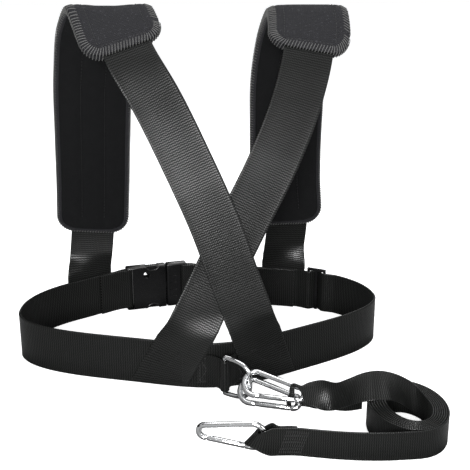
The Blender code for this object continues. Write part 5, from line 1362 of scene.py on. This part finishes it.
def hook_route():
    """Middle line of the hook's wire in its own axes, from the hinge end round the spine to the nose."""
    wide_x = HOOK_WIRE / 2.0 + BOW_WIDE
    narrow_x = HOOK_LENGTH - HOOK_WIRE / 2.0 - BOW_NARROW
    turn = math.pi / 2.0 - math.asin((BOW_WIDE - BOW_NARROW) / (narrow_x - wide_x))
    points = [(HINGE_X + SHOULDER_REACH, 0.0)]
    for x, radius, start, end, count in ((narrow_x, BOW_NARROW, -math.pi / 2.0, turn, 28),
                                         (wide_x, BOW_WIDE, turn, 1.5 * math.pi, 42)):
        points += [(x + radius * math.cos(a), radius + radius * math.sin(a)) for a in np.linspace(start, end, count)]
    points.append((NOSE_FROM_WIDE - FORK_REACH - GAP, 0.0))
    return np.array([(x, 0.0, z) for x, z in points])


def pair_seats():
    """Axes of the two hooks that hang on the ring, one over the other, and the seat of each."""
    bar, way, _ = ring_axes()
    hang = bar + way * RING_DEPTH
    axes = hook_axes(PAIR_HEADING, PAIR_TILT)
    level, away = flat(axes[0]), unit(flat(axes[2]))
    across = BOW_WIDE * math.sin(PAIR_TILT)
    lower = hang - level * (PAIR_SEAT - LOWER_HOOK_SHIFT) - away * across
    lower[2] = HOOK_WIRE / 2.0 + PAIR_LIFT
    upper = hang - level * PAIR_SEAT - away * across
    upper[2] = lower[2] + (HOOK_WIRE + GAP) / math.sin(PAIR_TILT)
    return axes, upper, lower


def to_place(piece, axes, seat):
    """Carries a piece from a hook's own axes to its seat, in its mesh."""
    piece.data.transform(placement(seat - DATUM, *axes))
    return piece


def edit_end(piece, test):
    """Opens a piece for editing with only the faces chosen whose middle passes a test."""
    focus(piece)
    chosen = set()
    for face in piece.data.polygons:
        face.select = bool(test(face.center, face.normal))
        chosen.update(face.vertices if face.select else ())
    for edge in piece.data.edges:
        edge.select = False
    for vertex in piece.data.vertices:
        vertex.select = vertex.index in chosen
    bpy.ops.object.mode_set(mode="EDIT")
    bpy.ops.mesh.select_mode(type="FACE")


def draw_out(piece, end_x, sign, tall, steps):
    """Flattens one end of a hook's wire and draws it out in steps, each a length and a share of the height."""
    edit_end(piece, lambda at, way: (
        way.x * sign > 0.99 and abs(at.x - end_x) < 0.0005 and abs(at.z) < HOOK_WIRE / 2.0))
    for move, size in ((0.0, (1.0, TONGUE_THICK / HOOK_WIRE, tall)), *((reach, (1.0, 1.0, z)) for reach, z in steps)):
        bpy.ops.mesh.extrude_region_move(TRANSFORM_OT_translate={"value": (sign * move, 0.0, 0.0)})
        bpy.ops.transform.resize(value=size, center_override=(0.0, 0.0, 0.0))
    bpy.ops.object.mode_set(mode="OBJECT")


def hook_frame(name):
    """Bent wire of one snap hook in its own axes, with a flat tongue at the hinge and a T nose."""
    route = hook_route()
    piece = wire_piece(name, route, HOOK_WIRE / 2.0)
    tongue = ((SHOULDER_REACH, 1.0), (FORK_REACH * 0.5, 0.72), (FORK_REACH * 0.25, 0.5))
    draw_out(piece, route[0][0], -1.0, 0.72, tongue)
    draw_out(piece, route[-1][0], 1.0, 0.6, ((FORK_REACH, 1.0), (FORK_REACH * 0.5, 0.5)))
    return finish_mesh(round_edges(outward(piece), 0.00025, 50.0, 2), 35.0)


def combine(piece, operation, *others):
    """Cuts, joins or crosses a closed piece with others, which are then removed."""
    for k, other in enumerate(others):
        step = piece.modifiers.new("combine_%d" % k, "BOOLEAN")
        step.operation, step.solver, step.object = operation, "EXACT", other
    apply_modifiers(piece)
    for other in others:
        bpy.data.objects.remove(other)
    return piece


def block(name, low, high):
    """A box between two corners, as a cutter or the start of a piece."""
    deselect()
    low, high = np.array(low), np.array(high)
    bpy.ops.mesh.primitive_cube_add(size=1.0, location=tuple((low + high) / 2.0), scale=tuple(high - low))
    piece = bpy.context.object
    piece.name = name
    bpy.ops.object.transform_apply(location=True, rotation=True, scale=True)
    return piece


def rod(name, low, high, radius, sides=28, axis="X"):
    """A round rod from one end to the other, along the X or the Y axis."""
    deselect()
    low, high = np.array(low), np.array(high)
    turn = {"X": (0.0, math.pi / 2.0, 0.0), "Y": (math.pi / 2.0, 0.0, 0.0)}[axis]
    bpy.ops.mesh.primitive_cylinder_add(vertices=sides, radius=radius, depth=float(np.linalg.norm(high - low)),
                                        location=tuple((low + high) / 2.0), rotation=turn)
    piece = bpy.context.object
    piece.name = name
    bpy.ops.object.transform_apply(location=True, rotation=True, scale=True)
    return piece


def round_edges(piece, width, angle=40.0, segments=3):
    """Rounds the sharp edges of a piece."""
    step = piece.modifiers.new("edges", "BEVEL")
    step.width, step.segments, step.limit_method = width, segments, "ANGLE"
    step.angle_limit = math.radians(angle)
    apply_modifiers(piece)
    return finish_mesh(piece, 50.0)


def hook_gate(name):
    """Round gate of a hook in its own axes, forked at both ends and bored for its spring."""
    radius = GATE_DIAMETER / 2.0
    near, far = NOSE_FROM_WIDE - FORK_REACH, HINGE_X + FORK_REACH
    piece = round_edges(rod(name, (near, 0.0, 0.0), (far, 0.0, 0.0), radius), 0.0006, 50.0)
    slot, over = TONGUE_THICK / 2.0 + GAP, radius + OVERCUT
    bore_end = HINGE_X - FORK_REACH
    combine(piece, "DIFFERENCE",
            block("nose_slot", (near - OVERCUT, -slot, -over), (near + FORK_REACH * 1.5 + 3.0 * GAP, slot, over)),
            block("hinge_slot", (bore_end, -slot, -over), (far + OVERCUT, slot, over)),
            rod("spring_bore", (bore_end - SPRING_LENGTH - GAP, 0.0, 0.0), (bore_end + GAP, 0.0, 0.0),
                SPRING_DIAMETER / 2.0 + GAP, 20))
    return finish_mesh(outward(piece), 35.0)


def hook_spring(name):
    """Coil spring in the gate's bore, in the hook's own axes."""
    start = HINGE_X - FORK_REACH - SPRING_LENGTH + SPRING_WIRE / 2.0
    turns = np.linspace(0.0, 6.0, 145)
    radius = (SPRING_DIAMETER - SPRING_WIRE) / 2.0
    points = np.column_stack([start + (SPRING_LENGTH - SPRING_WIRE - GAP) * turns / 6.0,
                              radius * np.cos(2.0 * math.pi * turns), radius * np.sin(2.0 * math.pi * turns)])
    piece = wire_piece(name, points, SPRING_WIRE / 2.0)
    return finish_mesh(piece, 60.0)


def hook_pin(name):
    """Rivet through the gate's fork, its two heads slightly domed."""
    reach = GATE_DIAMETER / 2.0 + 0.0002
    piece = rod(name, (HINGE_X, -reach, 0.0), (HINGE_X, reach, 0.0), RIVET_DIAMETER / 2.0, 20, "Y")
    return round_edges(piece, 0.0004)


class TRAINER_OT_hooks(bpy.types.Operator):
    """Makes the three snap hooks with their gates, rivets and springs."""

    bl_idname = "trainer.hooks"
    bl_label = "Snap hooks"

    def execute(self, context):
        pair, upper, lower = pair_seats()
        free = hook_axes(FREE_HEADING, 0.0, FREE_PITCH)
        free_seat = np.array([*FREE_SEAT, HOOK_WIRE / 2.0])
        look = finishes()
        for letter, axes, seat in (("upper", pair, upper), ("lower", pair, lower), ("free", free, free_seat)):
            for make, name, node, body, slot, finish in (
                    (hook_frame, "hook_wire_", "hook_frame_", "hook_", "plated_steel", "plating"),
                    (hook_gate, "hook_latch_", "hook_gate_", "gate_", "plated_steel", "plating"),
                    (hook_pin, "hook_pin_", "gate_rivet_", "hook_", "plated_steel", "plating"),
                    (hook_spring, "hook_coil_", "gate_spring_", "gate_", "spring_steel", "spring")):
                piece = to_place(make(name + letter), axes, seat)
                finish_piece(piece, look[finish], body + letter, slot, node + letter)
        return {"FINISHED"}


# Buckle and slider


def to_buckle(piece):
    """Carries a piece from the buckle's own axes, along, out and up, to the belt, in its mesh."""
    left, along, out, _ = buckle_axes()
    piece.data.transform(placement(left - DATUM, along, out, UP))
    return outward(piece)


def bar_cutters(from_left, length):
    """Cutters that open one end of a buckle half all round its bar."""
    low = BAR_FROM_END - BUCKLE_BAR / 2.0
    reach = BAR_FROM_END + BAR_FOLD + BELT_THICK / 2.0 + GAP
    deep = (BUCKLE_THICK + OVERCUT) / 2.0
    side = BUCKLE_BAR / 2.0
    z0, z1 = BUCKLE_SILL - GAP, BUCKLE_SILL + BELT_WIDTH + GAP
    spans = (((-OVERCUT, low), (-deep, deep)), ((low + BUCKLE_BAR, reach), (-deep, deep)),
             ((low - 0.0001, low + BUCKLE_BAR + 0.0001), (side, deep)),
             ((low - 0.0001, low + BUCKLE_BAR + 0.0001), (-deep, -side)))
    made = []
    for (u0, u1), (v0, v1) in spans:
        if not from_left:
            u0, u1 = length - u1, length - u0
        made.append(block("bar_cut", (u0, v0, z0), (u1, v1, z1)))
    return made


def arch_lip(at):
    """A raised round lip along a thumb cut-out, kept within the height of the case."""
    deselect()
    bpy.ops.mesh.primitive_torus_add(major_segments=72, minor_segments=16, major_radius=LIP_RADIUS,
                                     minor_radius=LIP_THICK, location=at, rotation=(math.pi / 2.0, 0.0, 0.0))
    lip = bpy.context.object
    lip.name = "arch_lip"
    bpy.ops.object.transform_apply(location=True, rotation=True, scale=True)
    keep = block("keep", (at[0] - 0.02, -BUCKLE_THICK, LIP_INSET), (at[0] + 0.02, 0.0, BUCKLE_HEIGHT - LIP_INSET))
    return combine(lip, "INTERSECT", keep)


def buckle_case(length):
    """Socket half: a flat moulded case with an arched window for each prong and a hole through it."""
    deep, half, side = BUCKLE_THICK, BUCKLE_THICK / 2.0 - BUCKLE_WALL, BUCKLE_SIDE_WALL
    case = block("socket_case", (0.0, -deep / 2.0, 0.0), (SOCKET_LENGTH, deep / 2.0, BUCKLE_HEIGHT))
    round_edges(case, CASE_ROUND)
    window_end = SOCKET_LENGTH - WINDOW_FROM_MOUTH
    window_start = window_end - WINDOW_LENGTH
    middle = (window_start + window_end) / 2.0
    arches = (-ARCH_BEYOND, BUCKLE_HEIGHT + ARCH_BEYOND)
    for w in arches:
        combine(case, "UNION", arch_lip((middle, -deep / 2.0, w)))
    cutters = [
        block("cavity", (BUCKLE_CLOSED_END, -half, side), (SOCKET_LENGTH + OVERCUT, half, BUCKLE_HEIGHT - side)),
        block("windows", (window_start, 2.0 * GAP - half, -OVERCUT),
              (window_end, half - 2.0 * GAP, BUCKLE_HEIGHT + OVERCUT)),
    ]
    hole = (window_start + HOLE_FROM_WINDOW, BUCKLE_HEIGHT - 2.0 * side - HOLE_DROP, HOLE_RADIUS, 36)
    for u, w, radius, sides in (*((middle, w, ARCH_RADIUS, 40) for w in arches), hole):
        cutters.append(rod("opening", (u, -deep, w), (u, deep, w), radius, sides, "Y"))
    combine(case, "DIFFERENCE", *cutters, *bar_cutters(True, length))
    return round_edges(outward(case), CASE_RIM, 45.0)


def buckle_tongue(length):
    """Plug half: a flat moulded body with a bar for the webbing and a guide that enters the socket."""
    start, middle, half = SOCKET_LENGTH + GAP, BUCKLE_HEIGHT / 2.0, BUCKLE_THICK / 2.0 - BUCKLE_WALL
    plug = block("plug_body", (start, -BUCKLE_THICK / 2.0, 0.0), (length, BUCKLE_THICK / 2.0, BUCKLE_HEIGHT))
    round_edges(plug, CASE_ROUND)
    guide = block("guide", (BUCKLE_CLOSED_END + BUCKLE_SIDE_WALL, GAP - half, middle - GUIDE_HEIGHT / 2.0),
                  (start + BUCKLE_WALL, half - GAP, middle + GUIDE_HEIGHT / 2.0))
    combine(plug, "UNION", guide)
    cutters = bar_cutters(False, length)
    for k in range(4):
        w = BUCKLE_HEIGHT * (0.26 + 0.16 * k)
        for v in (-BUCKLE_THICK / 2.0, BUCKLE_THICK / 2.0):
            cutters.append(block("groove", (start + GROOVE_FROM, v - GROOVE_DEEP, w - GROOVE_HALF),
                                 (start + GROOVE_TO, v + GROOVE_DEEP, w + GROOVE_HALF)))
    combine(plug, "DIFFERENCE", *cutters)
    return round_edges(outward(plug), EDGE_ROUND, 45.0, 2)


def buckle_prong(name, lower):
    """One springing prong of the plug, its pad ribbed for the thumb."""
    pad_high = SOCKET_LENGTH - WINDOW_FROM_MOUTH - GAP
    pad_low = pad_high + GAP - WINDOW_LENGTH + PRONG_TOE_CLEAR
    wall = BUCKLE_SIDE_WALL + GAP
    half = BUCKLE_THICK / 2.0 - BUCKLE_WALL - 2.0 * GAP
    inner = wall + PRONG_ARM * 1.4

    def rise(w):
        return w if lower else BUCKLE_HEIGHT - w

    def span(u0, u1, w0, w1):
        low, high = sorted((rise(w0), rise(w1)))
        return block(name, (u0, -half, low), (u1, half, high))

    pad = span(pad_low, pad_high, 2.0 * GAP, inner)
    combine(pad, "UNION", span(pad_high - PRONG_ARM, SOCKET_LENGTH, wall + PRONG_ARM * 0.5, inner - 0.0001))
    w, over = rise(RIB_RISE), half + OVERCUT / 2.0
    combine(pad, "DIFFERENCE", *(
        rod("rib", (u, -over, w), (u, over, w), RIB_RADIUS, 12, "Y")
        for u in (pad_low + RIB_FROM_TOE + RIB_SPACE * k for k in range(5))))
    return round_edges(outward(pad), EDGE_ROUND, 45.0, 2)


class TRAINER_OT_buckle(bpy.types.Operator):
    """Moulds the side release buckle and the slider."""

    bl_idname = "trainer.buckle"
    bl_label = "Buckle and slider"

    def execute(self, context):
        length = buckle_axes()[3]
        plastic = finishes()["plastic"]
        for piece, body, node in (
                (buckle_case(length), "harness", "buckle_socket"), (buckle_tongue(length), "harness", "buckle_plug"),
                (buckle_prong("prong_blade_lower", True), "prong_lower", "buckle_prong_lower"),
                (buckle_prong("prong_blade_upper", False), "prong_upper", "buckle_prong_upper")):
            finish_mesh(to_buckle(piece), 35.0)
            finish_piece(piece, plastic, body, "buckle_plastic", node)
        slider = slider_plate()
        finish_piece(slider, plastic, "harness", "buckle_plastic", "belt_slider")
        return {"FINISHED"}


def slider_plate():
    """Three bar slider with rounded corners."""
    at = outline_place(SLIDER_X, True)
    centre = outline_point(at)
    along = unit(outline_point(at - SLIDER_LENGTH / 2.0) - outline_point(at + SLIDER_LENGTH / 2.0))
    out = unit(outline_point(at, 0.002) - centre)
    half = np.array([SLIDER_LENGTH, SLIDER_THICK, SLIDER_HEIGHT]) / 2.0
    low = -BELT_WIDTH / 2.0 + GAP / 3.0
    plate = round_edges(block("slider_plate", (-half[0], -half[1], low), tuple(half)), SLIDER_ROUND)
    cutters = []
    for side in (-1.0, 1.0):
        ends = sorted((side * SLIDER_BAR / 2.0, side * (half[0] - SLIDER_EDGE)))
        cutters.append(block("slot", (ends[0], -SLIDER_THICK, low - OVERCUT),
                             (ends[1], SLIDER_THICK, BELT_WIDTH / 2.0 + GAP)))
    round_edges(outward(combine(plate, "DIFFERENCE", *cutters)), EDGE_ROUND, 45.0, 2)
    plate.data.transform(placement(centre + UP * BELT_WIDTH / 2.0 - DATUM, along, out, UP))
    return finish_mesh(outward(plate), 35.0)


# Pull strap


def coil_point(turns):
    """Point of the wound strap after so many turns inwards from the near side."""
    a = -math.pi / 2.0 + 2.0 * math.pi * turns
    left, right, near = COIL_PITCHES
    across = COIL_HALF_LENGTH - (left + right) / 2.0 * turns
    x = COIL_CENTRE[0] + (left - right) / 2.0 * turns + across * math.cos(a)
    return np.array([x, COIL_CENTRE[1] + (COIL_HALF_DEPTH - near * turns) * math.sin(a), 0.0])


def coil_plan():
    """Plan route of the lower run and the wound turns, and its last point and direction."""
    turns = np.linspace(COIL_LEAD, COIL_TURNS, int(COIL_TURNS * 90))
    wound = np.array([coil_point(t) for t in turns])
    rough = [coil_point(COIL_LEAD), coil_point(COIL_LEAD + COIL_STEP)]
    entry = smooth_route([flat(place) for place in LOWER_RUN] + rough, 60)
    length = rise_along(entry)[-1]
    entry = entry[rise_along(entry) < length - np.linalg.norm(rough[1] - rough[0]) - 0.0008]
    plan = np.concatenate([entry, wound])
    end = coil_point(COIL_TURNS)
    return plan, end, unit(end - coil_point(COIL_TURNS - COIL_STEP))


def loop_plan():
    """Plan route, width and thickness of the lower loop round the free hook, sewn back on the run."""
    along = unit(flat(hook_axes(FREE_HEADING, 0.0, FREE_PITCH)[0]))
    side = np.cross(along, UP)
    if side[1] > 0:
        side = -side
    wire = flat(FREE_SEAT) + along * HOOK_WIRE / 2.0
    run = flat(LOWER_RUN[0])
    start_way = unit(flat(LOWER_RUN[1]) - run)
    far_end = run - start_way * (run[0] - LOOP_TAIL_X)
    far_end = far_end + np.array([-start_way[1], start_way[0], 0.0]) * (PULL_THICK + 3.0 * GAP)
    stretch = np.linalg.norm(run - wire)
    fold = wire + along * LOOP_FROM_END
    crown = fold + along * LOOP_THICK * 0.4
    behind = wire - along * HOOK_WIRE * 1.1
    spread = side * LOOP_SPREAD
    plan = smooth_route([
        run - start_way * GAP, run - start_way * 0.25 * stretch, wire - along * 0.35 * stretch + spread * 0.45,
        behind + spread * 0.85, wire + spread, fold + spread * 0.55, crown, fold - spread * 0.55, wire - spread,
        behind - spread * 0.85, wire - along * 0.30 * stretch - spread * 0.10, far_end - start_way * HOOK_WIRE,
        far_end,
    ], 170)
    reach = np.linalg.norm(plan - crown, axis=1)
    ease = smooth_step(np.clip((reach - HOOK_WIRE * 0.7) / (HOOK_WIRE * 3.0), 0.0, 1.0))
    width = LOOP_HEIGHT + (PULL_WIDTH - LOOP_HEIGHT) * ease
    thick = LOOP_THICK + (PULL_THICK - LOOP_THICK) * ease
    centre = HOOK_WIDE / 2.0 + (PULL_WIDTH / 2.0 - HOOK_WIDE / 2.0) * ease
    return plan, width, thick, centre


def lean_loop(piece):
    """Slants the loop's fold, with its lower corner further from the strap."""
    along = flat(hook_axes(FREE_HEADING, 0.0, FREE_PITCH)[0])
    fold = flat(FREE_SEAT) + along * (HOOK_WIRE / 2.0 + LOOP_FROM_END) - DATUM
    places = np.array([vertex.co for vertex in piece.data.vertices])
    near = hill(np.linalg.norm(places[:, :2] - fold[:2], axis=1), LOOP_FROM_END)
    places += along * (0.85 * near * (HOOK_WIDE / 2.0 - places[:, 2]))[:, None]
    for vertex, place in zip(piece.data.vertices, places):
        vertex.co = place


def eye_stations():
    """Stations of the gathered eye: before the upper hook, down through both hooks, out behind the lower one."""
    (along, square, spine), upper, lower = pair_seats()
    toward = -square
    level, away, narrow = unit(flat(along)), unit(flat(spine)), BOW_NARROW
    slope = 2.0 * (BOW_WIDE - narrow) / (HOOK_LENGTH - HOOK_WIRE - BOW_WIDE - narrow)
    opening = 2.0 * narrow + slope * (HOOK_LENGTH - HOOK_WIRE / 2.0 - narrow - EYE_FROM_WIDE)
    leg = HOOK_WIRE / 2.0 + EYE_CLEAR + EYE_THICK / 2.0
    rise = leg / math.sin(PAIR_TILT)
    middle = opening / 2.0
    high, low = middle + rise * math.cos(PAIR_TILT), middle - rise * math.cos(PAIR_TILT)
    neck_top = upper + level * EYE_FROM_WIDE + spine * middle
    low_from = EYE_FROM_WIDE - LOWER_HOOK_SHIFT / 3.0
    neck_low = lower + level * low_from + spine * middle
    past = HOOK_LENGTH + HOOK_WIRE
    slant = unit(spine + away)

    def beside(seat, far, over, off):
        return seat + along * far + spine * over + toward * off

    near = EYE_FROM_WIDE
    return [
        (beside(upper, past + HOOK_WIRE, narrow * 1.2, leg * 1.20), spine, PULL_WIDTH * 0.96, PULL_THICK),
        (beside(upper, past - HOOK_WIRE, narrow * 1.25, leg * 1.10), spine, PULL_WIDTH * 0.66, EYE_THICK * 0.8),
        (beside(upper, near + 1.6 * HOOK_WIRE, narrow * 0.7 + high / 2.0, leg), spine, EYE_WIDTH * 0.8, EYE_THICK),
        (beside(upper, near + 2.2 * EYE_THICK, high, leg), slant, NECK_WIDTH * 1.5, EYE_THICK),
        (beside(upper, near + 0.5 * EYE_THICK, high, leg - EYE_THICK * 0.25), away, NECK_WIDTH, NECK_DEPTH * 0.8),
        (neck_top + UP * rise * 0.5, away, NECK_WIDTH, NECK_DEPTH),
        (neck_top, away, NECK_WIDTH, NECK_DEPTH),
        ((neck_top + neck_low) / 2.0, away, NECK_WIDTH, NECK_DEPTH),
        (neck_low, away, NECK_WIDTH, NECK_DEPTH),
        (neck_low - UP * rise * 0.5, away, NECK_WIDTH, NECK_DEPTH * 0.9),
        (beside(lower, low_from + 0.9 * EYE_THICK, low, EYE_THICK * 0.15 - leg), away, NECK_WIDTH, EYE_THICK * 1.1),
        (beside(lower, low_from + 2.0 * EYE_THICK, low * 1.2, -leg), slant, NECK_WIDTH * 1.5, EYE_THICK),
        (beside(lower, low_from + 1.3 * HOOK_WIRE, narrow * 0.9, -leg), spine, EYE_WIDTH * 0.8, EYE_THICK),
        (beside(lower, past, narrow * 1.3, -leg * 0.9), spine, EYE_WIDTH * 1.2, EYE_THICK * 0.8),
    ]


def upper_rows():
    """Fine rows of the upper run, its eye and its tail: place, width direction, width and thickness."""
    _, end, end_way = coil_plan()
    places = [end + end_way * GAP + UP * PULL_WIDTH / 2.0] + [np.array(p[:3]) for p in UPPER_RUN]
    leans = [0.0] + [math.radians(p[3]) for p in UPPER_RUN]
    stations = []
    for place, way, lean in zip(places, directions(np.array(places)), leans):
        right = unit((way[1], -way[0], 0.0))
        stations.append((place, math.cos(lean) * UP + math.sin(lean) * right, PULL_WIDTH, PULL_THICK))
    stations += eye_stations()
    stations += [(np.array([x, y, z]), UP, width, PULL_THICK) for x, y, z, width in EYE_TAIL]
    rows = np.array([[*p, *w, a, b] for p, w, a, b in stations])
    at = rise_along(rows[:, :3])
    fine = np.concatenate([np.linspace(a, b, 7)[:-1] for a, b in zip(at[:-1], at[1:])] + [[at[-1]]])
    return curve_through(rows, fine)


class TRAINER_OT_pull_strap(bpy.types.Operator):
    """Winds the pull strap, closes its loop on the free hook and its eye on the paired hooks."""

    bl_idname = "trainer.pull_strap"
    bl_label = "Pull strap"

    def execute(self, context):
        look = finishes()
        plan, _, _ = coil_plan()
        loop, width, thick, centre = loop_plan()
        whole = np.concatenate([loop[::-1], plan[1:]])
        rest = len(plan) - 1
        widths = np.concatenate([width[::-1], np.full(rest, PULL_WIDTH)])
        thicks = np.concatenate([thick[::-1], np.full(rest, PULL_THICK)])
        bases = np.concatenate([(centre - width / 2.0)[::-1], np.zeros(rest)])
        roll = upright_web("strap_roll", whole, widths, thicks, bases)
        lean_loop(roll)
        finish_piece(roll, look["pull_webbing"], "harness", "webbing", "pull_strap_coil", "pull_strap_lower_loop")
        rise_along(whole)[-1]
        rows = upper_rows()
        wide = unit_rows(rows[:, 3:6])
        face = unit_rows(np.cross(directions(rows[:, :3]), wide))
        grid = rows[:, None, :3] + wide[:, None, :] * (rows[:, 6][:, None] * WEB_SHARES[None, :] / 2.0)[:, :, None]
        faces = np.repeat(face[:, None, :], len(WEB_SHARES), axis=1)
        eye = web_piece("strap_hook_eye", grid, faces, rows[:, 7], rows[:, 6])
        finish_piece(eye, look["pull_webbing"], "harness", "webbing", "pull_strap_upper_end")
        length = rise_along(rows[:, :3])[-1]
        make_end_stitches(loop)
        return {"FINISHED"}


def make_end_stitches(plan):
    """Rows of slanted stitches that close the lower loop, on its near face."""
    at = rise_along(plan)
    ways = directions(plan)
    paths = []
    for k in range(END_ROWS):
        start = END_FIRST + END_SPACE * k
        for j in range(END_PER_ROW):
            path = []
            for t, rise in END_STITCH:
                share = (j + t) / END_PER_ROW
                where = start + END_SLANT * (1.0 - share)
                point, way = pick(plan, at, where)[0], unit(pick(ways, at, where)[0])
                near = np.array([-way[1], way[0], 0.0])
                if near[1] > 0:
                    near = -near
                path.append(point + near * (PULL_THICK / 2.0 + rise) + UP * (END_LOW + END_RISE * share))
            paths.append(path)
    piece = threads("strap_end_stitches", paths, END_THREAD)
    finish_piece(piece, finishes()["web_thread"], "harness", "webbing")


class TRAINER_OT_stitching(bpy.types.Operator):
    """Sews the four strap feet to the belt with a boxed cross of stitches each."""

    bl_idname = "trainer.stitching"
    bl_label = "Stitching"

    def execute(self, context):
        for side in ("left", "right"):
            front_x, back_x = FEET_X[side]
            base = BELT_THICK / 2.0 + SEWN_GAP + STRAP_THICK
            paths = side_stitches(outline_place(front_x, True), *FRONT_BOX, base)
            lean = BACK_BOX_LEAN if side == "left" else -BACK_BOX_LEAN
            at = outline_place(back_x - lean, False)
            paths += side_stitches(at, *BACK_BOX, base + TAB_THICK + SEWN_GAP)
            piece = threads("foot_stitches_" + side, paths, THREAD)
            finish_piece(piece, finishes()["dark_thread"], "harness", "webbing")
        return {"FINISHED"}


# Panel and registration


OPERATORS = (
    TRAINER_OT_stage, TRAINER_OT_belt, TRAINER_OT_straps, TRAINER_OT_pads, TRAINER_OT_buckle, TRAINER_OT_ring,
    TRAINER_OT_hooks, TRAINER_OT_pull_strap, TRAINER_OT_stitching,
)
SETTINGS = {
    "trainer_webbing": TrainerWebbing, "trainer_pads": TrainerPads, "trainer_hardware": TrainerHardware,
    "trainer_stage": TrainerStage,
}


class TRAINER_PT_panel(bpy.types.Panel):
    """Lists the pieces of the trainer in the sidebar."""

    bl_idname = "TRAINER_PT_panel"
    bl_label = "Sprint trainer"
    bl_space_type = "VIEW_3D"
    bl_region_type = "UI"
    bl_category = "Trainer"

    def draw(self, context):
        for step in OPERATORS:
            self.layout.operator(step.bl_idname)
        for name, kind in SETTINGS.items():
            box = self.layout.box()
            for key in kind.__annotations__:
                box.prop(getattr(context.scene, name), key)


def register():
    """Adds the settings, the operators and the panel."""
    for kind in (*SETTINGS.values(), *OPERATORS, TRAINER_PT_panel):
        bpy.utils.register_class(kind)
    for name, kind in SETTINGS.items():
        setattr(bpy.types.Scene, name, PointerProperty(type=kind))


def unregister():
    """Takes the panel, the operators and the settings away."""
    for name in SETTINGS:
        delattr(bpy.types.Scene, name)
    for kind in (TRAINER_PT_panel, *OPERATORS[::-1], *list(SETTINGS.values())[::-1]):
        bpy.utils.unregister_class(kind)


def main():
    """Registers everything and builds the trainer."""
    register()
    for step in OPERATORS:
        group, name = step.bl_idname.split(".")
        getattr(getattr(bpy.ops, group), name)()


if __name__ == "__main__":
    main()
